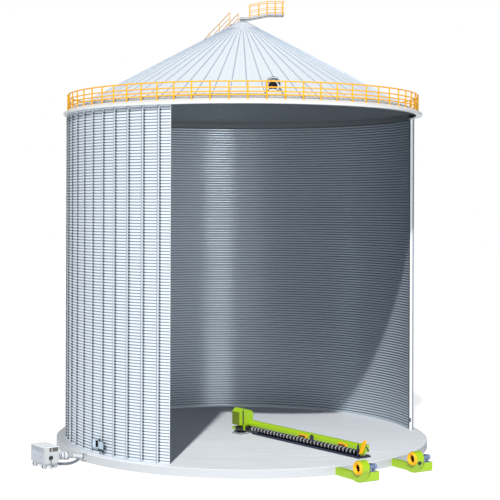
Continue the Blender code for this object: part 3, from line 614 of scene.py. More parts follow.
def make_looks(colours, pitch):
    """Makes every material once, for the operators to share."""
    LOOKS.update({
        # The tuple after each corrugated look's own colour is the painted shade of the wave slopes that look
        # down.
        "wall": corrugated("wall_zinc_outside", tuple(colours.wall), (0.18, 0.22, 0.27),
                           0.42, 0.15, pitch, 1.0, (0.48, 0.84)),
        "inside": corrugated("wall_zinc_inside", tuple(colours.inside), (0.072, 0.092, 0.118),
                             0.17, 0.53, pitch, -1.0, (0.36, 0.72)),
        "stiffener": galvanised("stiffener_zinc", shade(colours.wall, 0.80)[:3], 0.40, 0.2, 0.10),
        # Dark grey: painted shadow lines beside the stiffeners, and the grey rim of the right cut edge.
        "seal": painted("grey_rim_and_painted_shadow_line", (0.20, 0.23, 0.28), 0.5, 0.2, 0.0),
        # Dark greys for the band at the top of the wall's inside: painted shade under the eave.
        "lining": painted("top_band_lower_painted_shade", (0.058, 0.068, 0.080), 0.7, 0.2, 0.0),
        "top_band_shade": painted("top_band_upper_painted_shade", (0.125, 0.143, 0.160), 0.7, 0.2, 0.0),
        "plate": galvanised("pivot_plate_zinc", (0.58, 0.61, 0.65), 0.45, 0.2, 0.15),
        # Near-black: the clips, the bands inside the cut edges and the vent's edging, coloured as painted
        # shadow.
        "clip": painted("near_black_painted_shadow", (0.035, 0.042, 0.055), 0.5, 0.3, 0.0),
        # Pale grey for the white edge channels, and for the cooler's lid, where it paints the light on the
        # top.
        "white_trim": painted("pale_trim_and_painted_top_light", (0.72, 0.755, 0.78), 0.42, 0.12, 0.1),
        "flashing": painted("flashing_pale_coating", (0.61, 0.635, 0.645), 0.42, 0.12, 0.1),
        # Darker blue-grey for the roof's ribs: painted shade.
        "roof_rib_shade": painted("roof_rib_painted_shade", (0.36, 0.42, 0.50), 0.45, 0.2, 0.1),
        # Darker lime: painted shade on the sweep head's side cover, also used for the mast's rod.
        "lime_shade": painted("painted_shade_machine_lime", (0.13, 0.19, 0.012), 0.45, 0.2, 0.1),
        "fixing": galvanised("bolt_zinc", (0.50, 0.53, 0.57), 0.35, 0.8, 0.2),
        "roof": galvanised("roof_sheet_coated", colours.roof, 0.42, 0.15, 0.06),
        "roof_under": galvanised("roof_underside_zinc", (0.20, 0.225, 0.25), 0.45, 0.5, 0.12),
        "collar": painted("peak_collar_grey", (0.50, 0.55, 0.62), 0.45),
        "concrete": slab_concrete("slab_concrete", colours.concrete),
        "rail": painted("rail_amber_paint", colours.rail, 0.48, 0.15, 0.08),
        "grating": galvanised("grating_zinc", (0.42, 0.44, 0.47), 0.45, 0.8, 0.2),
        "green": painted("machine_lime_paint", colours.green, 0.42, 0.18, 0.12),
        "orange": painted("machine_orange_paint", colours.orange, 0.6, 0.15, 0.0),
        "blue": painted("motor_blue_paint", colours.blue, 0.40, 0.3),
        # Darker grey for the cooler's left-face doors: painted shade.
        "cooler_side": painted("cooler_side_painted_shade", (0.36, 0.40, 0.46), 0.42, 0.3),
        "duct": painted("duct_pale_grey", (0.50, 0.53, 0.57), 0.45, 0.3, 0.0),
        "louvre": painted("louvre_grey_paint", (0.40, 0.43, 0.48), 0.45, 0.3),
        "hose": painted("hose_blue_grey", (0.11, 0.13, 0.165), 0.5, 0.3, 0.0),
        "navy": painted("navy_black_paint", (0.012, 0.016, 0.045), 0.42, 0.3),
        "wheel": painted("impeller_dark_brown", (0.42, 0.20, 0.06), 0.55, 0.3, 0.0),
        "grille": painted("grille_brown_grey", (0.085, 0.080, 0.075), 0.5, 0.3),
        "hatch": painted("hatch_blue_grey_paint", colours.hatch, 0.42, 0.3),
        "hatch_cover": painted("hatch_cover_pale_blue", shade(colours.hatch, 1.25)[:3], 0.42, 0.3),
        "cooler": painted("cooler_grey_paint", colours.cooler, 0.40, 0.3),
        "white": galvanised("flighting_off_white", (0.80, 0.80, 0.79), 0.40, 0.2, 0.15),
        "dark": painted("dark_grey_paint", (0.045, 0.050, 0.058), 0.45, 0.4),
        # Near-black: the hatch's clamps, the plates' strips and the cooler's fan recess, and painted shade in
        # the vent's throat, the doorway, under the shield, under the hatch leaf and inside the fan scrolls.
        "black": painted("black_and_painted_shade", (0.004, 0.004, 0.005), 0.6, 0.2, 0.0),
        "rubber": rubber("black_rubber", (0.012, 0.012, 0.014)),
    })


class SILO_OT_walls(bpy.types.Operator):
    """Corrugated sheets with two faces, stiffeners with splices and clips, dark strips of painted shadow
    beside them, and the wall's edges
    """

    bl_idname = "silo.walls"
    bl_label = "Walls"

    def sheet(self, sizes, name, first, last, low, high):
        """One corrugated piece of wall, closed at its edges."""
        columns = max(1, round(abs(last - first) / (BAY / 2.0)))
        edge = math.degrees(SHEET_GAP / WALL_RADIUS)
        start, end = min(first, last) + edge, max(first, last) - edge
        angles = [start + (end - start) * index / columns for index in range(columns + 1)]
        count = max(1, round((high - low) / sizes.wave_pitch * WAVE_STEPS))
        middle = WALL_RADIUS - WALL_SHEET / 2.0
        shape = Shape()
        outer, inner = [], []
        for row in range(count + 1):
            height = low + (high - low) * row / count
            wave = sizes.wave_depth / 2.0 * math.sin(2.0 * math.pi * (height - FLOOR) / sizes.wave_pitch)
            outer.append([polar(middle + wave + SHEET_HALF, angle, height) for angle in angles])
            inner.append([polar(middle + wave - SHEET_HALF, angle, height) for angle in angles])
        shape.grid(outer)
        shape.grid(inner, 1)
        for end in (0, -1):
            shape.grid([[row[end] for row in outer], [row[end] for row in inner]])
        for end in (0, -1):
            shape.grid([outer[end], inner[end]])
        piece(name + "_sheet", shape, ("wall", "inside"), replaces=(name,), smooth=60.0)

    def posts(self, sizes, name, angles, low, high):
        """Stiffeners of one wall piece: a splice at every other ring, a dark strip of painted shadow along
        each, and a near-black clip on each wave that also paints the shadow in the wave's valley.
        """
        if not angles:
            return
        half = sizes.stiffener_width / 2.0
        face = WALL_RADIUS - 0.001
        flange, crest = face + 0.005, face + STIFFENER_DEPTH
        outline = ((-half, face), (-half, flange), (-half * 0.66, flange), (-half * 0.52, crest),
                   (half * 0.52, crest), (half * 0.66, flange), (half, flange), (half, face))
        sleeve = [(u * 1.04, v + 0.003) for u, v in outline]
        shape, lines, clips = Shape(), Shape(), Shape()
        ring = (EAVE_UNDER - FLOOR) / WALL_RINGS
        waves = round((high - low) / sizes.wave_pitch) - 1
        for angle in angles:
            base = heading(angle)
            place = lambda u, v, w: base @ Vector((v, u, w))
            shape.prism(outline, low, high, place)
            # Dark grey strip along the stiffener's left flange: painted shadow.
            lines.box(base, (face + 0.003, -half - 0.028, low), (face + 0.030, -half + 0.022, high))
            for number in range(2, WALL_RINGS, 2):
                level = FLOOR + ring * number
                shape.prism(sleeve, level - SPLICE_HALF, level + SPLICE_HALF, place)
            # Clips in near-black: real clips whose colour paints the shadow in the valleys beside the post.
            for number in range(waves):
                level = FLOOR + sizes.wave_pitch * (number + 1.0)
                clips.box(base, (face + 0.002, half - 0.035, level - CLIP_HALF),
                          (face + 0.071, half + sizes.clip_width, level + CLIP_HALF))
        piece(name + "_stiffeners", shape, "stiffener", smooth=20.0)
        piece(name + "_stiffener_shadow_lines", lines, "seal")
        piece(name + "_clips", clips, "clip")

    def execute(self, context):
        sizes = context.scene.silo_sizes
        low, high = FLOOR + END_GAP, EAVE_UNDER - END_GAP
        lines = [CUT_LEFT - BAY * index for index in range(WALL_BAYS + 1)]
        right, left = HATCH_OPENING_RIGHT, HATCH_OPENING_LEFT
        runs = (
            ("wall_front_left", lines[0], lines[4], range(0, 4), low, high),
            ("wall_hatch_right", lines[4], right, range(4, 5), low, high),
            ("wall_over_hatch", right, left, (), FLOOR + HATCH_HEAD + 0.001, high),
            ("wall_under_hatch", right, left, (), low, FLOOR + HATCH_SILL - 0.001),
            ("wall_hatch_left", left, lines[6], range(5, 6), low, high),
            ("wall_left", lines[6], lines[19], range(6, 19), low, high),
            ("wall_back", lines[19], lines[32], range(19, 32), low, high),
            ("wall_right", lines[32], lines[-1], range(32, WALL_BAYS), low, high),
        )
        for name, first, last, bays, sheet_low, sheet_high in runs:
            self.sheet(sizes, name, first, last, sheet_low, sheet_high)
            self.posts(sizes, name, [lines[bay] - STIFFENER_SHIFT for bay in bays], low + 0.02, high - 0.02)
        steps = round(abs(lines[-1] - lines[0]) / 1.8)
        self.rims([lines[0] + (lines[-1] - lines[0]) * index / steps for index in range(steps + 1)])
        self.edges(lines[0], lines[-1], low, high)
        return {"FINISHED"}

    def rims(self, angles):
        """The angle at the wall's foot, and at the top of its inside a dark line and band that paint the
        shade under the eave.
        """
        foot, top = Shape(), Shape()
        section = ((11.935, FLOOR + 0.001), (11.94, FLOOR + 0.10), (11.948, FLOOR + 0.10),
                   (11.948, FLOOR + 0.012), (12.06, FLOOR + 0.012), (12.06, FLOOR + 0.001))
        foot.strip(carried(section, angles))
        piece("wall_foot_angle", foot, "stiffener", smooth=30.0)
        # The band's lower dark line and its upper part in ceiling grey are painted shade.
        outer = BAND_RADIUS + BAND_THICK
        heights = (EAVE_UNDER - 0.10, EAVE_UNDER - 0.03, cone(BAND_RADIUS) - 0.02)
        for finish, (low, high) in enumerate(zip(heights, heights[1:])):
            section = ((BAND_RADIUS, low), (outer, low), (outer, high), (BAND_RADIUS, high))
            top.strip(carried(section, angles), finish)
        piece("wall_top_band", top, ("lining", "top_band_shade"), smooth=30.0)

    def edges(self, left, right, low, high):
        """White channels down the two cut edges, the right one's grey rim, and near-black bands inside that
        paint the shade beside the cut edges.
        """
        edge, rim, band = Shape(), Shape(), Shape()
        base = heading(left + 0.02)
        edge.box(base, (11.965, -0.006, low), (12.04, 0.008, high))
        band.box(base, (11.938, -0.15, low), (11.955, -0.012, high))
        base = heading(right - 0.02)
        edge.box(base, (11.962, -0.010, low), (12.12, 0.012, high))
        edge.box(base, (12.112, -0.010, low), (12.12, 0.09, high))
        rim.box(base, (12.121, -0.010, low), (12.235, 0.03, high))
        rim.box(base, (12.225, -0.010, low), (12.235, 0.10, high))
        band.box(base, (11.938, 0.012, low), (11.955, 0.15, high))
        band.box(base, (11.90, -0.035, FLOOR + 0.55), (12.05, 0.06, FLOOR + 0.84))
        piece("wall_edge_channels", edge, "white_trim", bevel=0.003)
        piece("wall_edge_rim", rim, "seal", bevel=0.003)
        # Near-black bands inside the cut edges: painted shade.
        piece("wall_edge_shade_bands", band, "clip")


class SILO_OT_roof(bpy.types.Operator):
    """Ribbed roof sheets in three sectors, the peak collar, the vent and the edge's flashing"""

    bl_idname = "silo.roof"
    bl_label = "Roof"

    def execute(self, context):
        for side, start in SECTOR_STARTS.items():
            self.sector("roof_" + side, start)
        self.collar()
        self.vent()
        self.fascia()
        dress("eave_ring", "flashing")
        return {"FINISHED"}

    def fascia(self):
        """White flashing that folds over the roof's edge, with a drip fold, laps and rivets."""
        edge = cone(ROOF_OUTER)
        section = ((12.262, EAVE_UNDER + 0.006), (12.268, EAVE_UNDER + 0.006), (12.268, edge + 0.006),
                   (11.90, cone(11.90) + 0.012), (11.90, cone(11.90) + 0.003), (12.258, edge + 0.001),
                   (12.258, EAVE_UNDER + 0.082))
        flashing, rivets = Shape(), Shape()
        angles = [index * 360.0 / 264 for index in range(264)]
        flashing.grid(carried(section, angles), round_rows=True, round_columns=True)
        for index in range(BAYS):
            base = heading((index + 0.5) * BAY)
            rivets.box(base, (12.255, -0.03, EAVE_UNDER + 0.008), (12.2695, 0.03, edge + 0.004))
            for height in (EAVE_UNDER + 0.035, EAVE_UNDER + 0.10):
                rivets.bolt(base, (12.2635, 0.0, height), X_AXIS, 0.010, 0.006)
        piece("eave_flashing", flashing, "flashing", smooth=25.0)
        piece("eave_flashing_laps", rivets, "flashing")

    def sector(self, name, start):
        """A third of the cone: a standing rib on each bay line and a low bead between two ribs, the ribs in a
        darker blue-grey as painted shade.
        """
        radii = [ROOF_INNER, 1.0, 1.4, 2.0, 3.0, 4.5, 6.0, 8.0, 10.0, 11.4, 11.9, ROOF_OUTER]
        top_rows, under_rows = [], []
        for radius in radii:
            spread = min(1.0, radius * math.radians(BAY) / 0.34)
            ribbed = 1.2 < radius < 11.85
            tall = RIB_HEIGHT if ribbed else 0.004
            low = BEAD_HEIGHT if ribbed else 0.002
            profile = ((-0.045, 0.0), (-0.028, tall), (0.028, tall), (0.045, 0.0))
            bead = ((-0.035, 0.0), (-0.012, low), (0.012, low), (0.035, 0.0))
            top, under = [], []
            for bay in range(start, start + SECTOR_BAYS):
                for centre, marks in ((bay * BAY, profile), ((bay + 0.5) * BAY, bead)):
                    for across, lift in marks:
                        angle = centre + math.degrees(across * spread / radius)
                        top.append(polar(radius, angle, cone(radius) + ROOF_LIFT + lift))
                        under.append(polar(radius, angle, cone(radius) - ROOF_DROP))
            last = (start + SECTOR_BAYS) * BAY + math.degrees(profile[0][0] * spread / radius)
            top.append(polar(radius, last, cone(radius) + ROOF_LIFT))
            under.append(polar(radius, last, cone(radius) - ROOF_DROP))
            top_rows.append(top)
            under_rows.append(under)
        shape = Shape()
        shape.grid(top_rows)
        width = len(top_rows[0]) - 1
        # The rib's faces take the third finish: painted shade on each rib.
        for number in range(len(shape.finishes)):
            if number % width % 8 in (0, 1, 2):
                shape.finishes[number] = 2
        shape.grid(under_rows, 1)
        shape.grid([top_rows[-1], under_rows[-1]])
        shape.grid([top_rows[0], under_rows[0]], 1)
        for end in (0, -1):
            shape.grid([[row[end] for row in top_rows], [row[end] for row in under_rows]])
        piece(name + "_sheet", shape, ("roof", "roof_under", "roof_rib_shade"), replaces=(name,),
              smooth=20.0)

    def collar(self):
        """The small cap over the roof's open centre, with its rim and bolts."""
        shape = Shape()
        shape.lathe(((AXIS, cone(0.55) - 0.16), (0.54, cone(0.55) - 0.16), (0.55, cone(0.55) - 0.02),
                     (1.13, cone(1.15) + 0.004), (1.16, cone(1.15) + 0.004), (1.16, cone(1.15) + 0.05),
                     (1.12, cone(1.12) + 0.062), (0.62, cone(0.62) + 0.062), (0.60, cone(0.60) + 0.075),
                     (0.57, cone(0.57) + 0.062), (0.26, cone(0.26) + 0.062), (0.22, cone(0.22) + 0.10),
                     (0.20, CROWN_TOP), (AXIS, CROWN_TOP)), BAYS, WORLD)
        for number in range(COLLAR_BOLTS):
            angle = number * 360.0 / COLLAR_BOLTS + 2.0
            spot = polar(1.08, angle, cone(1.08) + 0.061)
            shape.bolt(WORLD, spot, polar(0.46, angle, 0.88), 0.016, 0.014)
        piece("peak_collar_cap", shape, "collar", replaces=("peak_collar",), smooth=25.0)

    def vent(self):
        """The vent near the front eave: pipe, hood, a black throat that paints the shade in its mouth, dark
        edging that paints the shadow along the hood's edges, and two stays.
        """
        base = heading(BAY * 1.5)
        level = FLOOR + VENT_HEIGHT
        pipe = along_axis(base, (VENT_BACK, 0.0, level), X_AXIS)
        shape = Shape()
        shape.lathe(((0.335, 0.35), (0.335, 1.40), (0.352, 1.405), (0.352, 1.45), (0.300, 1.45),
                     (0.285, 1.40), (0.285, 0.45)), 40, pipe)
        hood, trim = [], []
        for step in range(13):
            turn = math.radians(180.0 - step * 15.0)
            rise = math.sin(turn) ** 0.8 if 0 < step < 12 else 0.0
            hood.append((0.42 * math.cos(turn), 0.06 + 0.49 * rise))
        for u, v in hood:
            trim.append((u * 0.93, 0.03 + (v - 0.06) * 0.90))
        ring = [[base @ Vector((along, u, level + v)) for u, v in row]
                for row, along in ((hood, HOOD_BACK), (hood, HOOD_FRONT), (trim, HOOD_FRONT),
                                   (trim, HOOD_BACK))]
        shape.grid(ring, round_rows=True)
        back = ((-0.38, -0.02), (-0.36, 0.05), (-0.20, 0.38), (0.0, 0.50), (0.20, 0.38), (0.36, 0.05),
                (0.38, -0.02))
        shape.prism(back, 10.52, 10.58, lambda u, v, w: base @ Vector((w, u, level + v)))
        for side in (-0.345, 0.345):
            low = cone(10.85) - level + 0.01
            shape.box(base, (10.60, side - 0.012, level + low - 0.05), (11.05, side + 0.012, level + 0.08))
        piece("roof_vent_hood", shape, "roof", replaces=("roof_vent",), smooth=30.0,
              bevel=0.004)
        # Black throat down the pipe: painted shade inside the vent's mouth.
        inside = Shape()
        inside.lathe(((0.286, 1.44), (0.284, 1.06), (AXIS, 1.06)), 40, pipe)
        piece("roof_vent_throat", inside, "black", smooth=30.0)
        # Dark tubes round the hood's edges, the pipe's lip and the stays: painted shadow outlines.
        edging = Shape()
        for row in (hood, trim):
            edging.tube([base @ Vector((11.115, u, level + v)) for u, v in row], 0.018, 6)
        edging.lathe(((0.352, 1.42), (0.362, 1.42), (0.362, 1.455), (0.352, 1.455)), 40, pipe)
        for side in (-0.39, 0.39):
            edging.tube([base @ Vector((11.10, side, level + 0.05)),
                         base @ Vector((11.30, side * 1.45, cone(11.30) + 0.02))], 0.016, 6)
        piece("roof_vent_shadow_edging", edging, "clip", smooth=40.0)


class SILO_OT_guardrail(bpy.types.Operator):
    """Guardrail in three sections of round tube, with foot plates and bolts"""

    bl_idname = "silo.guardrail"
    bl_label = "Guardrail"

    def execute(self, context):
        sizes = context.scene.silo_sizes
        foot = cone(RAIL_RADIUS)
        top = foot + RAIL_LEVELS[-1]
        for side, start in SECTOR_STARTS.items():
            name = "guardrail_" + side
            shape, plates = Shape(), Shape()
            for number, level in enumerate(RAIL_LEVELS):
                radius = sizes.rail_tube / 2.0 if number < 3 else sizes.rail_tube * 0.56
                angles = [(start + index / 2.0) * BAY for index in range(2 * SECTOR_BAYS)]
                angles.append((start + SECTOR_BAYS) * BAY - 0.02)
                shape.tube([polar(RAIL_RADIUS, angle, foot + level) for angle in angles], radius)
            for index in range(SECTOR_BAYS):
                angle = (start + index) * BAY
                shape.tube([polar(RAIL_RADIUS, angle, foot + 0.004), polar(RAIL_RADIUS, angle, top)],
                           sizes.post_tube / 2.0)
                tilt = heading(angle) @ Matrix.Translation((RAIL_RADIUS, 0.0, foot + 0.002))
                tilt = tilt @ Matrix.Rotation(math.atan(ROOF_SLOPE), 4, "Y")
                plates.box(tilt, (-0.075, -0.075, 0.0), (0.075, 0.075, 0.014))
                for x in (-0.055, 0.055):
                    for y in (-0.055, 0.055):
                        plates.bolt(tilt, (x, y, 0.013), Z_AXIS, 0.011, 0.010)
            piece(name + "_tubes", shape, "rail", replaces=(name,), smooth=50.0)
            piece(name + "_feet", plates, "rail")
        return {"FINISHED"}


class SILO_OT_roof_stair(bpy.types.Operator):
    """Stair on the roof with channel stringers, grating treads and two handrails"""

    bl_idname = "silo.roof_stair"
    bl_label = "Roof stair"

    def execute(self, context):
        base = heading(STAIR_ANGLE)
        going = (STAIR_FOOT - STAIR_HEAD) / STAIR_STEPS
        shape = Shape()
        stations = [(along, cone(along) + STAIR_LIFT) for along in (STAIR_HEAD, STAIR_FOOT)]
        shape.stringers(base, stations, ((0.0, 0.20, 0.338, 0.35), (0.0, 0.012, 0.29, 0.35),
                                         (0.188, 0.20, 0.29, 0.35)))
        for index in range(STAIR_STEPS):
            near = STAIR_HEAD + going * index
            level = cone(near) + STAIR_LIFT + 0.055
            for bar in range(7):
                spot = near + 0.004 + bar * (going - 0.02) / 6.0
                shape.box(base, (spot, -0.336, level - 0.03), (spot + 0.006, 0.336, level))
            for bar in range(-3, 4):
                shape.box(base, (near + 0.004, bar * 0.10 - 0.003, level - 0.012),
                          (near + going - 0.012, bar * 0.10 + 0.003, level - 0.002))
            shape.box(base, (near + going - 0.016, -0.336, level - 0.045),
                      (near + going - 0.004, 0.336, level + 0.002))
        piece("roof_stair_treads", shape, "grating", replaces=("roof_stair",))
        for name, side in (("stair_rail_left", -1.0), ("stair_rail_right", 1.0)):
            rails = Shape()
            across = side * (STAIR_HALF + 0.024)
            near, far = sorted((side * 0.351, side * 0.359))
            spots = [STAIR_HEAD + 0.15 + index * STAIR_POST_STEP for index in range(STAIR_POSTS)]
            for level, radius in ((0.384, 0.020), (0.724, 0.020), (1.076, 0.026)):
                rails.tube([base @ Vector((along, across, cone(along) + STAIR_LIFT + level))
                            for along in (spots[0], spots[-1])], radius)
            for along in spots:
                foot = cone(along) + STAIR_LIFT
                rails.tube([base @ Vector((along, across, foot + lift)) for lift in (0.04, 1.076)], 0.024)
                rails.box(base, (along - 0.05, near, foot + 0.03), (along + 0.05, far, foot + 0.16))
            piece(name + "_tubes", rails, "rail", replaces=(name,), smooth=50.0)
        return {"FINISHED"}


class SILO_OT_catwalk(bpy.types.Operator):
    """Catwalk at the peak with channel stringers, a grating deck and rails"""

    bl_idname = "silo.catwalk"
    bl_label = "Catwalk"

    def execute(self, context):
        start = CROWN_TOP + 0.14
        deck = FLOOR + DECK_HEIGHT
        stations = ((-0.20, start), (WALK_START, start), (WALK_BEND, deck), (WALK_END, deck))
        rise = WALK_BEND - WALK_START
        shape = Shape()
        shape.stringers(WORLD, stations, ((-0.14, 0.0, 0.386, 0.40), (-0.14, -0.126, 0.33, 0.40),
                                          (-0.014, 0.0, 0.33, 0.40)))
        for (x0, z0), (x1, z1) in zip(stations, stations[1:]):
            count = max(2, round((x1 - x0) / 0.045))
            for index in range(count):
                x = x0 + (x1 - x0) * (index + 0.5) / count
                z = z0 + (z1 - z0) * (index + 0.5) / count
                shape.box(WORLD, (x - 0.003, -0.385, z - 0.03), (x + 0.003, 0.385, z - 0.001))
            for bar in range(-3, 4):
                outline = ((x0, z0 - 0.014), (x1, z1 - 0.014), (x1, z1 - 0.004), (x0, z0 - 0.004))
                shape.prism(outline, bar * 0.11 - 0.003, bar * 0.11 + 0.003,
                            lambda u, v, w: Vector((u, w, v)))
        shape.box(WORLD, (WALK_END - 0.014, -WALK_HALF, deck - 0.14), (WALK_END, WALK_HALF, deck))
        piece("peak_catwalk_deck", shape, "grating", replaces=("peak_catwalk",))
        rails = Shape()
        reach = WALK_HALF + 0.024
        end = WALK_END + 0.024
        for level, radius in ((0.084, 0.024), (0.424, 0.020), (0.856, 0.026)):
            path = [Vector((x, -reach, z + level))
                    for x, z in ((0.44, start + 0.01), (WALK_BEND, deck), (end, deck))]
            path += [Vector((point.x, reach, point.z)) for point in reversed(path)]
            rails.tube(path, radius)
        for side in (-reach, reach):
            for x in (0.50, 1.12, 1.70, 2.26, 2.76):
                z = start + min(max((x - WALK_START) / rise, 0.0), 1.0) * (deck - start)
                rails.tube([Vector((x, side, z - 0.10)), Vector((x, side, z + 0.856))], 0.026)
        piece("catwalk_rail_tubes", rails, "rail", replaces=("catwalk_rail",),
              smooth=50.0)
        return {"FINISHED"}


class SILO_OT_hatch(bpy.types.Operator):
    """Access hatch: framed doorway lined in black as painted shade, side cover, leaf on lugs and pins,
    clamps, knob and a dark bar of painted shadow
    """

    bl_idname = "silo.hatch"
    bl_label = "Hatch"

    def execute(self, context):
        dress("hatch_frame", "hatch")
        base = heading(HATCH_ANGLE, (0.0, 0.0, FLOOR))
        self.leaf(base)
        self.doorway(base)
        return {"FINISHED"}

    def leaf(self, base):
        """The leaf with its raised panel, lugs, pins, clamps, edge strips, knob, and a black bar below that
        paints the leaf's shadow.
        """
        near = HATCH_FRAME_RADIUS + 0.006
        leaf = Shape()
        leaf.box(base, (near, LEAF_START, LEAF_LOW), (near + 0.026, LEAF_END, LEAF_HIGH))
        leaf.box(base, (near + 0.025, LEAF_START + 0.04, LEAF_LOW + 0.04),
                 (near + 0.040, LEAF_END - 0.05, LEAF_HIGH - 0.04))
        for height in (0.50, 0.76):
            place = base @ Matrix.Translation((near + 0.02, HATCH_PIN, height))
            leaf.lathe(((AXIS, -0.0395), (0.014, -0.0395), (0.014, 0.0395), (AXIS, 0.0395)), 16, place)
            leaf.box(base, (near + 0.014, HATCH_PIN, height - 0.03),
                     (near + 0.026, LEAF_START + 0.02, height + 0.03))
        piece("hatch_leaf_panel", leaf, "hatch", body="hatch", replaces=("hatch_leaf",),
              smooth=30.0, bevel=0.005)
        irons = Shape()
        for height in (0.43, 0.60, 0.77):
            irons.box(base, (near + 0.004, LEAF_END - 0.01, height - 0.01),
                      (near + 0.036, 0.998, height + 0.095))
        for y0, z0, y1, z1 in ((LEAF_START, LEAF_LOW, LEAF_START + 0.035, LEAF_HIGH),
                               (LEAF_END - 0.03, LEAF_LOW, LEAF_END, LEAF_HIGH),
                               (LEAF_START, LEAF_HIGH - 0.03, LEAF_END, LEAF_HIGH)):
            irons.box(base, (near + 0.024, y0, z0), (near + 0.031, y1, z1))
        # Black bar under the leaf: painted shadow.
        irons.box(base, (near - 0.008, LEAF_START - 0.008, 0.275), (near + 0.048, LEAF_END - 0.012, 0.365))
        knob = along_axis(base, (near + 0.004, 0.33, 0.945), X_AXIS)
        irons.lathe(((AXIS, 0.0), (0.075, 0.0), (0.085, 0.008), (0.085, 0.022), (0.070, 0.032),
                     (AXIS, 0.032)), 28, knob)
        piece("hatch_leaf_irons", irons, "black", body="hatch", smooth=30.0, bevel=0.003)

    def doorway(self, base):
        """Black round the doorway that paints the shade in its opening, and the pale cover beside it with its
        bolts.
        """
        # Black sides, sill, head and strip of the doorway: painted shade in the opening.
        jambs = Shape()
        face = HATCH_FRAME_RADIUS
        sill, head = HATCH_SILL + 0.001, HATCH_HEAD - 0.001
        for near, far, left, right, low, high in ((-0.20, 0.002, -0.112, -0.104, sill, head),
                                                  (-0.20, 0.002, 0.162, 0.170, sill, head),
                                                  (0.0, 0.004, 0.168, 0.212, sill - 0.011, head + 0.011),
                                                  (-0.20, 0.002, -0.106, 0.164, sill, sill + 0.008),
                                                  (-0.20, 0.002, -0.106, 0.164, head - 0.008, head)):
            jambs.box(base, (face + near, left, low), (face + far, right, high))
        piece("hatch_doorway_shade", jambs, "black")
        cover, bolts = Shape(), Shape()
        cover.box(base, (face + 0.0005, -0.435, 0.39), (face + 0.004, -0.125, 0.911))
        for across, height in ((-0.42, 0.555), (-0.42, 0.725), (-0.42, 0.897), (-0.28, 0.897),
                               (-0.15, 0.897)):
            bolts.bolt(base, (face + 0.0035, across, height), X_AXIS, 0.011, 0.012)
        piece("hatch_side_cover", cover, "hatch_cover")
        piece("hatch_side_bolts", bolts, "dark")


